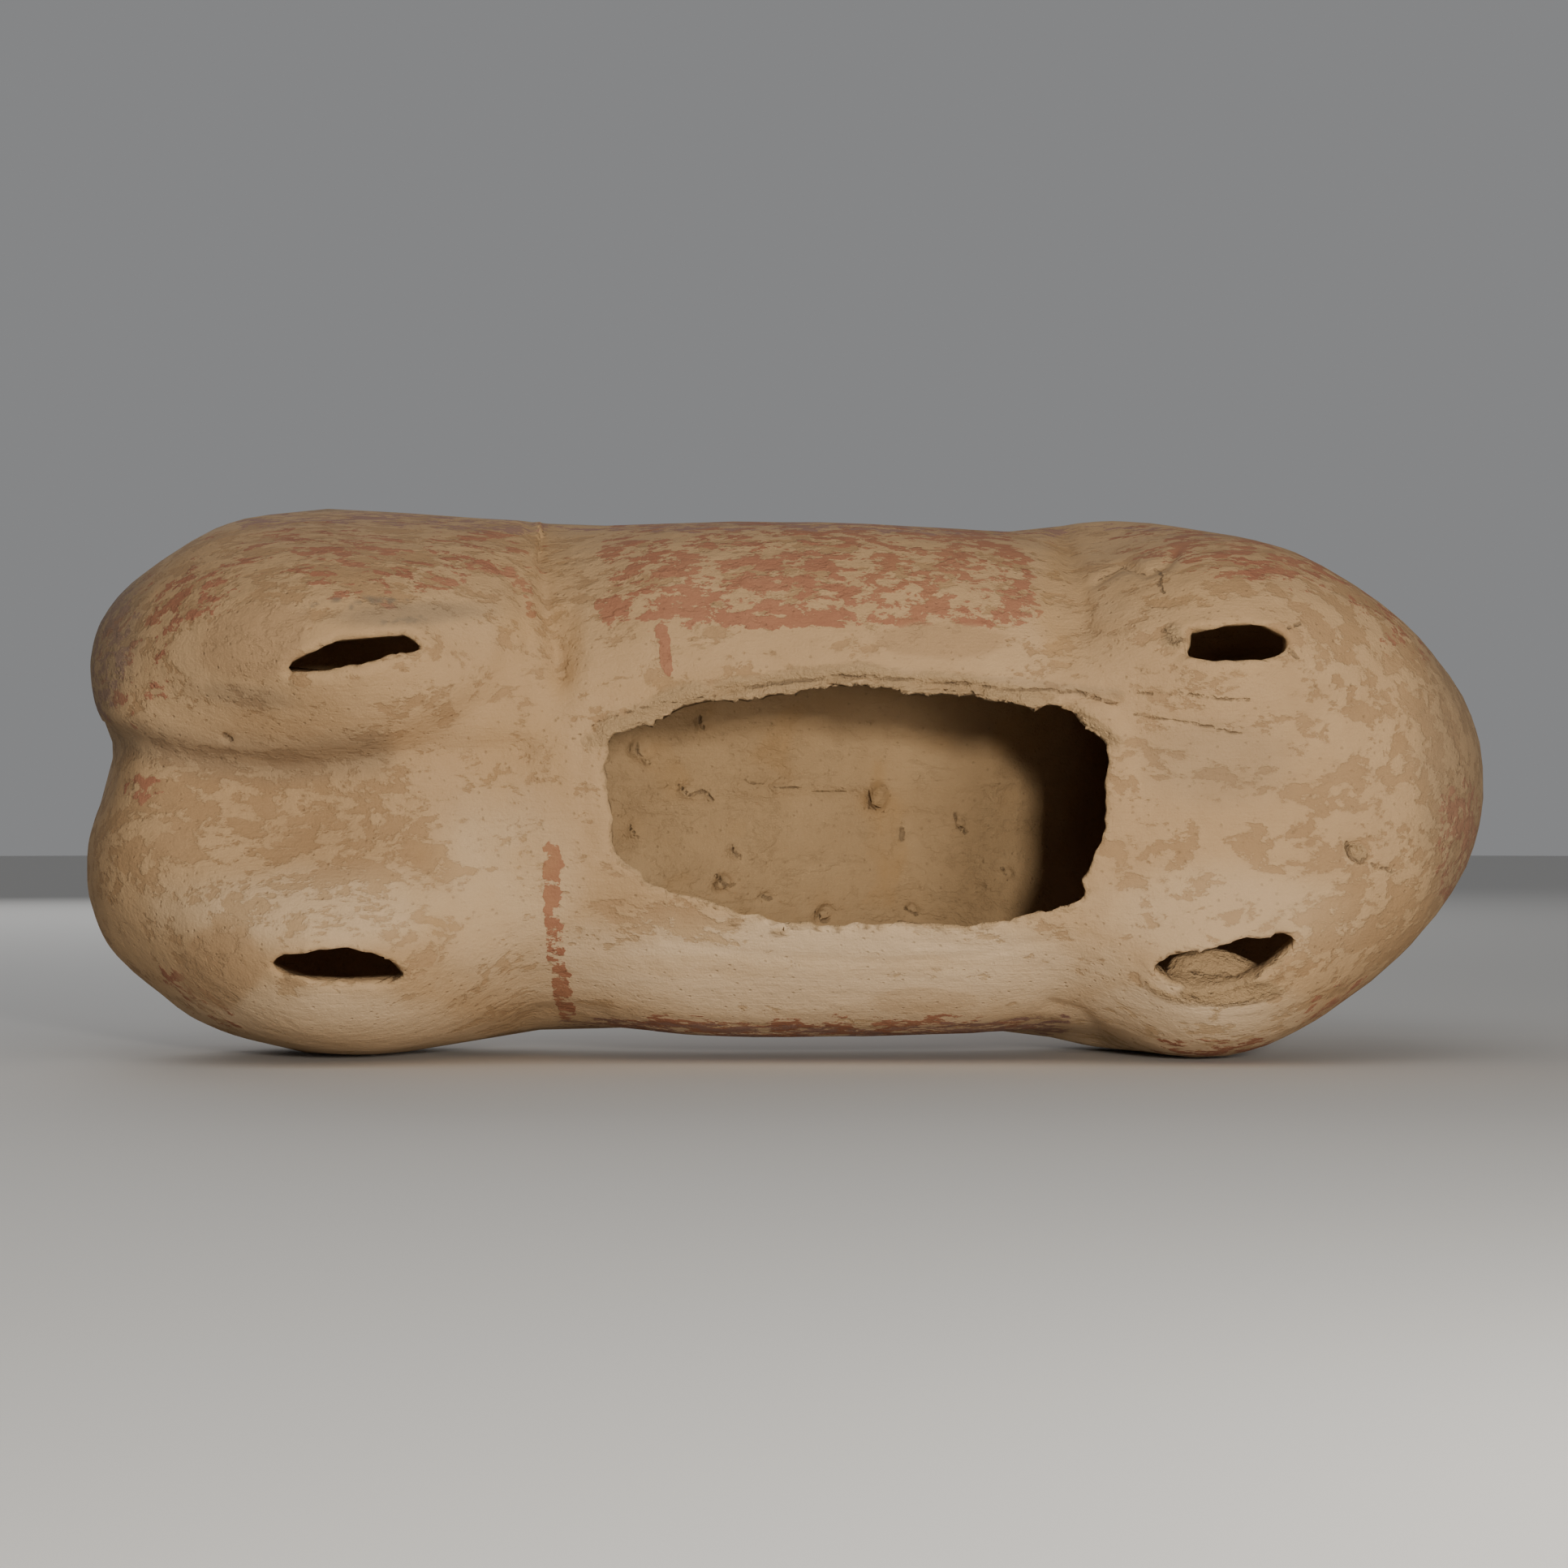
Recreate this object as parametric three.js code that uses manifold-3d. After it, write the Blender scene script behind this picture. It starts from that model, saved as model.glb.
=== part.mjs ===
// A hollow pottery horse, hand-built and fired in one piece. Its wooden legs and tail are gone: four worn,
// lens-shaped sockets for the legs, a round one for the tail and a torn oval opening in the belly lead into
// the empty body. It lies on its left side, as it is laid down for its underside to be seen.
// The figure is shaped standing, with x forward, y to its left and z up, from the middle of its body.
import * as THREE from "three";
import { mergeVertices } from "three/addons/utils/BufferGeometryUtils.js";
import Module from "manifold-3d";

// Driving sizes, in millimetres and degrees.
const bodyLength = 620; // rump to breast
const bodyWall = 10;
const neckWall = 7; // neck and head are thinner than the body
const headLength = 208; // poll to lips
const headSlope = 58; // below the horizontal
const earLength = 46;
const earWidth = 19;
const eyeLength = 21;
const nostrilWidth = 11;
const mouthDepth = 24; // from the lips back
const mouthHeight = 3.5;
const maneHeight = 10; // above the crest
const maneWidth = 13;
const bellyOpeningLength = 213;
const bellyOpeningWidth = 98;
const legSocketLength = 58;
const legSocketWidth = 17;
const tailSocketWidth = 17;
const sway = 5; // how far the hand-built body bends to its right away from the legs
const restingFlat = 1.2; // how deep the flank is worn flat where it lies
const endWall = 1.4; // the closed ends of a cavity are thicker than its wall by this factor

// How finely the surfaces are divided.
const bodyRings = 50;
const bodySides = 46;
const cavityRings = 30;
const cavitySides = 30;
const headRings = 18;
const headSides = 20;
const maneSteps = 18;
const bellyCrowding = 0.3; // how much closer the points of a ring stand at the belly than at the back

const percent = bodyLength / 100;
const headPercent = headLength / 100;
const radians = THREE.MathUtils.degToRad;

// Cross-sections from the rump through the barrel and round the breast up the neck to the poll, in
// percent of the body's length: the lower edge (x, z), the upper edge (x, z), half the breadth, how square
// the section is, and how much broader it is above its middle than below.
const stations = [
  [-50.0, 1.5, -50.0, 1.5, 0.0, 2.2, 0.0],
  [-49.7, -5.0, -49.3, 8.0, 9.2, 2.2, 0.0],
  [-48.0, -10.4, -47.4, 12.8, 13.0, 2.3, 0.02],
  [-45.0, -13.6, -44.4, 15.6, 15.4, 2.5, 0.05],
  [-40.0, -15.2, -39.6, 17.4, 18.4, 2.8, 0.08],
  [-31.0, -15.4, -31.0, 18.2, 19.5, 3.0, 0.1],
  [-22.0, -15.0, -22.0, 17.4, 18.7, 2.8, 0.08],
  [-14.0, -15.8, -14.0, 16.6, 18.0, 2.6, 0.05],
  [-3.0, -16.8, -3.0, 16.2, 18.4, 2.5, 0.04],
  [9.0, -17.2, 8.0, 16.4, 18.3, 2.5, 0.04],
  [19.0, -17.2, 14.6, 17.4, 17.9, 2.7, 0.07],
  [29.0, -17.4, 19.4, 19.6, 19.0, 3.0, 0.09],
  [38.0, -16.6, 22.4, 23.0, 18.8, 2.8, 0.04],
  [44.8, -13.0, 24.2, 27.2, 15.6, 2.5, -0.06],
  [48.8, -6.5, 25.2, 31.4, 12.2, 2.2, -0.16],
  [50.0, 1.5, 26.0, 35.6, 10.9, 2.1, -0.2],
  [48.4, 9.6, 26.6, 38.2, 9.4, 2.0, -0.2],
  [45.3, 17.4, 27.1, 40.8, 8.2, 2.0, -0.12],
  [42.4, 25.0, 27.7, 43.8, 7.1, 2.0, 0.0],
  [40.2, 32.4, 28.5, 47.2, 6.4, 2.0, 0.0],
  [38.8, 39.2, 30.0, 51.0, 5.6, 2.0, 0.0],
  [38.0, 45.4, 32.4, 54.0, 4.4, 2.0, 0.0],
  [36.0, 50.6, 36.0, 50.6, 0.0, 2.0, 0.0],
];
const neckStart = 11 / 22; // the wall thins from here on, as a share of the way from rump to poll
const neckEnd = 16 / 22;

// The head in percent of its own length: place along it, height above its line, depth below it, half the
// breadth.
const headStations = [
  [-7, 2, 3, 0],
  [-5, 9, 12, 9],
  [2, 14, 22, 14.5],
  [14, 16, 30, 18],
  [28, 15.5, 33, 18],
  [42, 14, 28, 15.5],
  [57, 13, 19.5, 11.5],
  [72, 12.5, 14.5, 10.5],
  [86, 13.5, 14, 12.5],
  [95, 11.5, 12, 11],
  [99, 7, 7.5, 7],
  [100, 0, 0, 0],
];
const headCavity = [0.14, 0.72]; // the hollow part, as shares of the way through this table

// Where the features of the head sit: along its line, beside it and above it, in percent of its length.
const eyePlace = [29, 16.8, 5];
const nostrilPlace = [91, 11.2, 5.5];
const mouthPlace = [100, 0, -4.5];
const earPlace = [5, 8.5, 9];
const headRootPlace = [32.6, 0, 48.6]; // of the body, in percent of the body's length

// The torn rim of the belly opening, in percent of its length (forward) and width (to the horse's right).
const bellyRim = [
  [-48.3, 29.5], [-43.8, 32.9], [-39.8, 32.5], [-34, 41], [-24, 43.5], [-11.4, 46.2], [-2.4, 50],
  [2.8, 50], [10.3, 46.2], [17.7, 48], [25, 45.5], [33.3, 41.4], [36.3, 39.7], [37.7, 42],
  [41.2, 41], [44.5, 33.5], [49.7, 27.4], [50, 18.8], [48.7, 11], [50, -0.3], [48.9, -11.6],
  [45.6, -31], [45, -37.7], [34.9, -44.9], [22, -50], [16.2, -48.3], [2.8, -49], [-11.4, -49],
  [-20.3, -45.5], [-30, -39.4], [-40.4, -33.2], [-43.4, -26.4], [-46.7, -22.3], [-48.7, -6.8],
  [-48.7, 4.5], [-49.7, 17],
];
const bellyOpeningX = 4.8 * percent;
const tailPlace = [-48, 9.6]; // x and z, in percent of the body's length
const swayFree = [-30, 27]; // the rump and the shoulders, in percent, which the sway leaves in line
const swayReach = 10;

// The clipped mane, as shares of the way from rump to poll.
const maneFrom = 0.55;
const maneTo = 0.94;

// The leg stumps, in percent of the body's length: where each pair stands and how far it swells from the body.
const legs = [
  { x: -30.3, side: 11.0, length: 13.5, breadth: 8.6, swell: 5.2, flare: 0.6 },
  { x: 30.2, side: 11.8, length: 10.0, breadth: 7.4, swell: 2.6, flare: 0.6 },
];

// The worn leg sockets, one by one: where each opens (x, y and z in percent of the body's length), how far its
// leg leaned out in degrees, and its rim in percent of a socket's length (forward) and width (to the right).
const sockets = [
  {
    place: [-29.1, -10.6, -20.2],
    lean: -6,
    rim: [
      [-51.7, -40.9], [-44.7, -15.0], [-29.5, 11.0], [-13.2, 36.9], [10.2, 44.9], [36.5, 50.9], [44.7, 36.9],
      [51.7, 17.0], [45.3, 3.0], [30.1, -3.0], [14.9, -22.9], [-2.6, -36.9], [-23.1, -48.9], [-42.4, -50.9],
    ],
  },
  {
    place: [-30.4, 10.9, -20.2],
    lean: 8,
    rim: [
      [-48.2, -3.0], [-40.0, 20.9], [-24.3, 34.9], [-2.6, 42.9], [17.8, 36.9], [35.4, 15.0], [47.1, -22.9],
      [48.2, -42.9], [35.4, -40.9], [17.8, -38.9], [-5.6, -36.9], [-28.9, -24.9], [-41.8, -15.0],
    ],
  },
  {
    place: [29.9, -11.7, -19.6],
    lean: -5,
    rim: [
      [-44.4, 19.9], [-35.7, 35.9], [-13.4, 35.9], [4.1, 45.9], [25.1, 43.9], [38.0, 27.9], [44.4, 8.0],
      [43.3, -17.9], [33.3, -35.9], [14.6, -43.9], [-7.6, -45.9], [-22.8, -37.9], [-36.8, -27.9], [-43.8, -6.0],
    ],
  },
  {
    place: [30.1, 11.1, -19.6],
    lean: 24,
    rim: [
      [-50.6, -22.9], [-44.1, 7.0], [-31.3, 28.9], [-12.0, 46.9], [8.5, 58.8], [31.9, 64.8], [47.1, 58.8],
      [50.6, 40.9], [45.9, 17.0], [34.8, -7.0], [17.2, -38.9], [-3.2, -58.8], [-20.8, -64.8], [-38.3, -54.8],
      [-47.6, -38.9],
    ],
  },
];

// A smooth step from 0 to 1 as the value goes from one end to the other, upwards or downwards.
function smooth(from, to, value) {
  const share = THREE.MathUtils.clamp((value - from) / (to - from), 0, 1);
  return share * share * (3 - 2 * share);
}

const bell = (distance, width) => Math.exp(-((distance / width) ** 2));

const wasm = await Module();
wasm.setup();

// A smooth curve through two columns of a table of stations.
function curveOf(table, first, second) {
  return new THREE.SplineCurve(table.map((row) => new THREE.Vector2(row[first], row[second])));
}

const lowerEdge = curveOf(stations, 0, 1);
const upperEdge = curveOf(stations, 2, 3);
const breadths = curveOf(stations, 4, 5);
const leans = curveOf(stations, 6, 6);

// How thick the wall is at a share t of the way from rump to poll.
function wallAt(t) {
  return THREE.MathUtils.lerp(bodyWall, neckWall, smooth(neckStart, neckEnd, t));
}

// A half width taken in by the wall, which still closes where the form comes to an end.
function takenIn(half, wall) {
  return Math.max(half - wall, half / 2);
}

// The swelling of the legs, the cleft of the rump and the folds of flank and armpit, as a shift of a point.
function modelling(point) {
  const x = point.x / percent;
  const y = point.y / percent;
  const z = point.z / percent;
  const shift = new THREE.Vector3();
  const under = smooth(1, -10, z);
  for (const leg of legs) {
    const away = Math.hypot((x - leg.x) / leg.length, (Math.abs(y) - leg.side) / leg.breadth);
    shift.z -= leg.swell * (1 - smooth(0.2, 1.2, away)) * under;
    shift.y += Math.sign(y) * leg.flare * bell(x - leg.x, 8) * bell(z + 12, 6);
  }
  const cleft = bell(y + 1.4, 4.2);
  shift.x += 2.2 * cleft * smooth(-42, -50, x) * bell(z + 2, 14);
  shift.z += 3.2 * bell(y + 1.4, 5) * smooth(-22, -36, x) * smooth(0, -8, z);
  const flank = smooth(6, -8, z) * smooth(6, 15, Math.abs(y));
  const flankFold = bell(x + 16.4, 3.4) * flank;
  const armpit = bell(x - 21.2, 3.0) * flank;
  shift.y -= Math.sign(y) * (0.9 * flankFold + 1.5 * armpit);
  shift.z += 1.6 * flankFold + 0.7 * armpit;
  shift.multiplyScalar(percent);
  shift.y -= sway * (1 - bell(x - swayFree[0], swayReach) - bell(x - swayFree[1], swayReach));
  return shift;
}

// How far a wall reaches into a section that meets an edge of the form at a slant.
function slanted(wall, edge, t, upward) {
  return wall / Math.max(Math.abs(edge.getTangent(t).cross(upward)), 0.3);
}

// One cross-section of body and neck at share t, either of the outside or, taken in by the wall, of the cavity.
function bodyRing(t, sides, inside) {
  const low = lowerEdge.getPoint(t).multiplyScalar(percent);
  const high = upperEdge.getPoint(t).multiplyScalar(percent);
  const middle = low.clone().add(high).multiplyScalar(0.5);
  const halfHeight = low.distanceTo(high) / 2;
  const upward = high.clone().sub(low).normalize();
  if (halfHeight < 1e-6) upward.set(0, 1);
  const { x: breadth, y: squareness } = breadths.getPoint(t);
  const lean = leans.getPoint(t).x;
  const wall = wallAt(t);
  const wallAbove = slanted(wall, upperEdge, t, upward);
  const wallBelow = slanted(wall, lowerEdge, t, upward);
  const ring = [];
  for (let i = 0; i < sides; i++) {
    const even = (2 * Math.PI * i) / sides;
    const turn = even + bellyCrowding * Math.sin(even);
    const rise = Math.sign(Math.cos(turn)) * Math.abs(Math.cos(turn)) ** (2 / squareness);
    const reach = Math.sign(Math.sin(turn)) * Math.abs(Math.sin(turn)) ** (2 / squareness) * (1 + lean * rise);
    const place = (height, width) => {
      const along = upward.clone().multiplyScalar(height * rise).add(middle);
      return new THREE.Vector3(along.x, width * reach, along.y);
    };
    const outside = place(halfHeight, breadth * percent);
    const height = takenIn(halfHeight, rise > 0 ? wallAbove : wallBelow);
    const point = inside ? place(height, takenIn(breadth * percent, wall)) : outside.clone();
    ring.push(point.add(modelling(outside)));
  }
  return ring;
}

// A closed solid through rings of equal count between a first and a last point.
function loft(first, rings, last) {
  const sides = rings[0].length;
  const points = [first, ...rings.flat(), last];
  const at = (ring, side) => 1 + ring * sides + (side % sides);
  const end = points.length - 1;
  const faces = [];
  for (let side = 0; side < sides; side++) {
    faces.push(0, at(0, side), at(0, side + 1));
    for (let ring = 0; ring < rings.length - 1; ring++) {
      const [a, b] = [at(ring, side), at(ring, side + 1)];
      const [c, d] = [at(ring + 1, side + 1), at(ring + 1, side)];
      faces.push(a, c, b, a, d, c);
    }
    faces.push(at(rings.length - 1, side + 1), at(rings.length - 1, side), end);
  }
  const geometry = new THREE.BufferGeometry().setFromPoints(points);
  geometry.setIndex(faces);
  return solidOf(geometry);
}

// A closed geometry as a solid that can be joined and cut.
function solidOf(geometry) {
  const bare = geometry.clone();
  bare.deleteAttribute("normal");
  bare.deleteAttribute("uv");
  const merged = mergeVertices(bare, 1e-4);
  return new wasm.Manifold(
    new wasm.Mesh({
      numProp: 3,
      vertProperties: new Float32Array(merged.attributes.position.array),
      triVerts: new Uint32Array(merged.index.array),
    }),
  );
}

// A solid's surface as three.js geometry.
function geometryOf(solid) {
  const mesh = solid.getMesh();
  const geometry = new THREE.BufferGeometry();
  geometry.setAttribute("position", new THREE.BufferAttribute(new Float32Array(mesh.vertProperties), 3));
  geometry.setIndex(new THREE.BufferAttribute(new Uint32Array(mesh.triVerts), 1));
  return geometry;
}

// The share of the way from rump to poll, or back, at which the middle line has gone a distance from that end.
function shareInside(distance, backwards) {
  const step = 0.001;
  const at = (t) => lowerEdge.getPoint(t).add(upperEdge.getPoint(t)).multiplyScalar(percent / 2);
  const end = at(backwards ? 1 : 0);
  let share = 0;
  while (at(backwards ? 1 - share : share).distanceTo(end) < distance) share += step;
  return backwards ? 1 - share : share;
}

// Body and neck, or their cavity, which ends a little more than a wall inside.
function bodyAndNeck(inside) {
  const [count, sides] = inside ? [cavityRings, cavitySides] : [bodyRings, bodySides];
  const from = inside ? shareInside(bodyWall * endWall, false) : 0;
  const to = inside ? shareInside(neckWall * endWall, true) : 1;
  const poleOf = (t) => {
    const ring = bodyRing(t, 2, inside);
    return ring[0].add(ring[1]).multiplyScalar(0.5);
  };
  const rings = [];
  const first = inside ? 0 : 1;
  for (let i = first; i <= count - first; i++) {
    rings.push(bodyRing(THREE.MathUtils.lerp(from, to, i / count), sides, inside));
  }
  return loft(poleOf(from), rings, poleOf(to));
}

// The head's line: where it leaves the poll, and its own forward and upward directions.
const headRoot = new THREE.Vector3(...headRootPlace).multiplyScalar(percent);
const headForward = new THREE.Vector3(Math.cos(radians(headSlope)), 0, -Math.sin(radians(headSlope)));
const headUpward = new THREE.Vector3(Math.sin(radians(headSlope)), 0, Math.cos(radians(headSlope)));

// A point of the head, from its place along the line, beside it and above it in percent of the head's length.
function onHead([along, beside, above]) {
  return headRoot
    .clone()
    .addScaledVector(headForward, along * headPercent)
    .addScaledVector(headUpward, above * headPercent)
    .add(new THREE.Vector3(0, beside * headPercent, 0));
}

// Head, or its cavity, from behind the poll to the lips.
function head(inside) {
  const heights = curveOf(headStations, 0, 1);
  const depths = curveOf(headStations, 2, 3);
  const wall = (100 * neckWall) / headLength;
  const sizeOf = (half) => (inside ? takenIn(half, wall) : half);
  const [count, sides] = inside ? [headRings / 2, headSides / 2] : [headRings, headSides];
  const [from, to] = inside ? headCavity : [0, 1];
  const ringAt = (t, around) => {
    const { x: along, y: height } = heights.getPoint(t);
    const { x: depth, y: half } = depths.getPoint(t);
    const ring = [];
    for (let i = 0; i < around; i++) {
      const turn = (2 * Math.PI * i) / around;
      const rise = Math.cos(turn);
      const jaw = rise < 0 ? 1 + 0.3 * rise : 1;
      ring.push(onHead([along, Math.sin(turn) * sizeOf(half) * jaw, rise * sizeOf(rise > 0 ? height : depth)]));
    }
    return ring;
  };
  const poleOf = (t) => {
    const ring = ringAt(t, 2);
    return ring[0].add(ring[1]).multiplyScalar(0.5);
  };
  const rings = [];
  const first = inside ? 0 : 1;
  for (let i = first; i <= count - first; i++) {
    rings.push(ringAt(THREE.MathUtils.lerp(from, to, i / count), sides));
  }
  return loft(poleOf(from), rings, poleOf(to));
}

// The same place on one side of the head: 1 is the left, -1 the right.
function onSide([along, beside, above], side) {
  return onHead([along, beside * side, above]);
}

// Turns a shape, made with its length along x, onto the head's line and moves it to a place of the head.
function setOnHead(geometry, place) {
  geometry.rotateY(radians(headSlope));
  geometry.translate(place.x, place.y, place.z);
  return solidOf(geometry);
}

// The swell of an eye under its brow.
function eye(side) {
  const geometry = new THREE.SphereGeometry(eyeLength / 2, 12, 8);
  geometry.scale(1, 0.45, 0.6);
  return setOnHead(geometry, onSide(eyePlace, side));
}

// The hollow of a nostril.
function nostrilCutter(side) {
  const geometry = new THREE.SphereGeometry(nostrilWidth / 2, 10, 8);
  geometry.scale(1.3, 0.8, 0.8);
  return setOnHead(geometry, onSide(nostrilPlace, side));
}

// The line of the mouth, cut in from the lips.
function mouthCutter() {
  const geometry = new THREE.BoxGeometry(2 * mouthDepth, headLength, mouthHeight);
  return setOnHead(geometry, onHead(mouthPlace));
}

// A pricked ear, a flattened leaf that stands on the poll.
function ear(side) {
  const leaf = new THREE.SplineCurve([
    new THREE.Vector2(earWidth * 0.3, 0),
    new THREE.Vector2(earWidth * 0.48, earLength * 0.35),
    new THREE.Vector2(earWidth * 0.38, earLength * 0.7),
    new THREE.Vector2(0, earLength),
  ]);
  const geometry = new THREE.LatheGeometry([new THREE.Vector2(0, 0), ...leaf.getPoints(7)], 12);
  geometry.rotateX(Math.PI / 2);
  geometry.scale(0.6, 1, 1);
  geometry.rotateY(radians(12));
  geometry.rotateX(radians(-14 * side));
  const foot = onSide(earPlace, side);
  geometry.translate(foot.x, foot.y, foot.z);
  return solidOf(geometry);
}

// The clipped mane, an upright strip along the crest from the withers to the poll.
function mane() {
  const crest = [];
  for (let i = 0; i <= maneSteps; i++) {
    const t = THREE.MathUtils.lerp(maneFrom, maneTo, i / maneSteps);
    const outward = upperEdge.getPoint(t).sub(lowerEdge.getPoint(t)).normalize();
    const height = maneHeight * Math.sin((Math.PI * i) / maneSteps) ** 0.4;
    crest.push({ at: upperEdge.getPoint(t).multiplyScalar(percent), outward, height });
  }
  const above = crest.map(({ at, outward, height }) => at.clone().addScaledVector(outward, height));
  const below = crest.map(({ at, outward }) => at.clone().addScaledVector(outward, -neckWall)).reverse();
  const geometry = new THREE.ExtrudeGeometry(new THREE.Shape([...above, ...below]), {
    depth: maneWidth,
    bevelEnabled: false,
  });
  geometry.translate(0, 0, -maneWidth / 2);
  geometry.rotateX(Math.PI / 2);
  return solidOf(geometry);
}

// An upright tool with a worn rim for its outline, half below and half above the figure's middle plane.
function rimTool(rim, length, width, depth) {
  const points = rim.map(([along, right]) => new THREE.Vector3((along * length) / 100, (-right * width) / 100, 0));
  const curve = new THREE.CatmullRomCurve3(points, true, "centripetal");
  const outline = curve.getPoints(rim.length * 2).slice(0, -1);
  const geometry = new THREE.ExtrudeGeometry(new THREE.Shape(outline.map(({ x, y }) => new THREE.Vector2(x, y))), {
    depth,
    bevelEnabled: false,
  });
  geometry.translate(0, 0, -depth / 2);
  return geometry;
}

// The torn opening of the belly, as a tool that passes through the lower wall only.
function bellyCutter() {
  const geometry = rimTool(bellyRim, bellyOpeningLength, bellyOpeningWidth, bodyLength * 0.2);
  geometry.translate(bellyOpeningX, 0, -bodyLength * 0.15);
  return solidOf(geometry);
}

// A leg socket, as a tool along the line of the leg that it held.
function socketCutter({ place, lean, rim }) {
  const geometry = rimTool(rim, legSocketLength, legSocketWidth, bodyLength * 0.14);
  geometry.rotateX(radians(lean));
  geometry.translate(...place.map((share) => share * percent));
  return solidOf(geometry);
}

// The round tail socket, as a tool along the body.
function tailCutter() {
  const geometry = new THREE.CylinderGeometry(tailSocketWidth / 2, tailSocketWidth / 2, bodyLength * 0.12, 16);
  geometry.rotateZ(Math.PI / 2);
  geometry.translate(tailPlace[0] * percent, 0, tailPlace[1] * percent);
  return solidOf(geometry);
}

// Volume-weighted centre of a closed surface.
function massCentre(geometry) {
  const places = geometry.attributes.position;
  const index = geometry.index;
  const centre = new THREE.Vector3();
  let volume = 0;
  for (let i = 0; i < index.count; i += 3) {
    const [a, b, c] = [0, 1, 2].map((k) => new THREE.Vector3().fromBufferAttribute(places, index.getX(i + k)));
    const piece = a.dot(b.clone().cross(c)) / 6;
    volume += piece;
    centre.addScaledVector(a.add(b).add(c), piece / 4);
  }
  return centre.divideScalar(volume);
}

// How a figure turned by roll and pitch lies on its left side.
function lying(roll, pitch) {
  const onItsSide = new THREE.Euler(radians(-90 + roll), 0, 0);
  const rocked = new THREE.Euler(0, radians(pitch), 0);
  return new THREE.Quaternion()
    .setFromEuler(rocked)
    .multiply(new THREE.Quaternion().setFromEuler(onItsSide));
}

// The ways to rock it, in steps of roll and pitch.
const rockings = [
  [1, 0], [-1, 0], [0, 1], [0, -1], [1, 1], [-1, -1], [1, -1], [-1, 1],
];

// Rocks the figure on its side until its centre of mass is as low as it gets, which is how it comes to rest.
function restingTurn(geometry) {
  const centre = massCentre(geometry);
  const places = geometry.attributes.position;
  const point = new THREE.Vector3();
  const heightAt = (roll, pitch) => {
    const turn = lying(roll, pitch);
    let lowest = Infinity;
    for (let i = 0; i < places.count; i++) {
      lowest = Math.min(lowest, point.fromBufferAttribute(places, i).applyQuaternion(turn).z);
    }
    return centre.clone().applyQuaternion(turn).z - lowest;
  };
  let best = { roll: 0, pitch: 0, height: heightAt(0, 0) };
  for (let step = 4; step > 0.02; step /= 2) {
    for (let moved = true; moved; ) {
      moved = false;
      for (const [rolled, pitched] of rockings) {
        const roll = best.roll + rolled * step;
        const pitch = best.pitch + pitched * step;
        const height = heightAt(roll, pitch);
        if (height < best.height - 1e-6) {
          best = { roll, pitch, height };
          moved = true;
        }
      }
    }
  }
  return lying(best.roll, best.pitch);
}

let horse = bodyAndNeck(false).add(head(false)).add(mane());
for (const side of [1, -1]) horse = horse.add(ear(side)).add(eye(side)).subtract(nostrilCutter(side));
horse = horse.subtract(mouthCutter());
horse = horse.subtract(bodyAndNeck(true).add(head(true)));
horse = horse.subtract(bellyCutter()).subtract(tailCutter());
for (const socket of sockets) horse = horse.subtract(socketCutter(socket));

// It is worn flat where it lies, and set down with the middle of its bounds over the origin.
const turn = restingTurn(geometryOf(horse));
const laid = geometryOf(horse).applyQuaternion(turn);
laid.computeBoundingBox();
const floor = new THREE.BoxGeometry(bodyLength * 2, bodyLength * 2, bodyLength);
floor.translate(0, 0, laid.boundingBox.min.z + restingFlat - bodyLength / 2);
horse = horse.subtract(solidOf(floor.applyQuaternion(turn.clone().invert())));

const pottery = new THREE.MeshStandardMaterial({ color: 0xb4916b, roughness: 0.92, metalness: 0 });
const figure = new THREE.Mesh(geometryOf(horse), pottery);
figure.name = "pottery_horse";
figure.quaternion.copy(turn);
const bounds = new THREE.Box3().setFromBufferAttribute(
  figure.geometry.clone().applyQuaternion(turn).attributes.position,
);
const middle = bounds.getCenter(new THREE.Vector3());
figure.position.set(-middle.x, -middle.y, -bounds.min.z);

const group = new THREE.Group();
group.add(figure);

export default group;
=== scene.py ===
# %% [markdown]
# # A hollow pottery horse, seen from below
#
# This lesson dresses one large piece of ancient earthenware: a hollow horse that lies on its left side. Its
# wooden legs have rotted away, so four worn sockets look into the empty body, and the thin wall of the
# belly has broken out in a ragged oval. Most of the lesson is about clay: how a plain shell becomes a
# hand-built surface with folds, lumps and broken edges, and how worn slip and flaked paint are laid over
# it.

# %% Load the frame
import math

import bmesh
import bpy
import numpy as np
from mathutils import Matrix, Vector
from mathutils.kdtree import KDTree


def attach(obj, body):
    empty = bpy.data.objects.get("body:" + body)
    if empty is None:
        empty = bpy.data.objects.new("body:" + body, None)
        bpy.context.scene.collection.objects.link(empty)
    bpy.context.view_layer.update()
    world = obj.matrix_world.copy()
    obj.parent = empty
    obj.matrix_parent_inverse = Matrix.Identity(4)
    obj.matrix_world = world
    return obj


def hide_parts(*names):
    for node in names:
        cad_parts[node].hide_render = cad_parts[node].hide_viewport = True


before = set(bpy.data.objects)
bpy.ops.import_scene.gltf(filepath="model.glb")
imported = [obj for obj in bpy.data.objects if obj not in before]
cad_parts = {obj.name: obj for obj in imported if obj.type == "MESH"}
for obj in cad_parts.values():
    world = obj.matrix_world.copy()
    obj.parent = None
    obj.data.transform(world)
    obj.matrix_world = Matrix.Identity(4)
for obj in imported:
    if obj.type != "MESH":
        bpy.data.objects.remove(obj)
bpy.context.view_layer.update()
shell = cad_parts["pottery_horse"]
print("CAD shell:", len(shell.data.polygons), "faces")

# %% [markdown]
# ## The figure's own axes
#
# The horse was shaped standing and then laid on its side, rolled a little onto the edge of its back. Shapes
# on it are easier to place along its own axes: forward from rump to breast, left, and up from belly to
# back. Two small functions turn points of the scene into points of the figure and back. All sizes are in
# metres.

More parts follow.
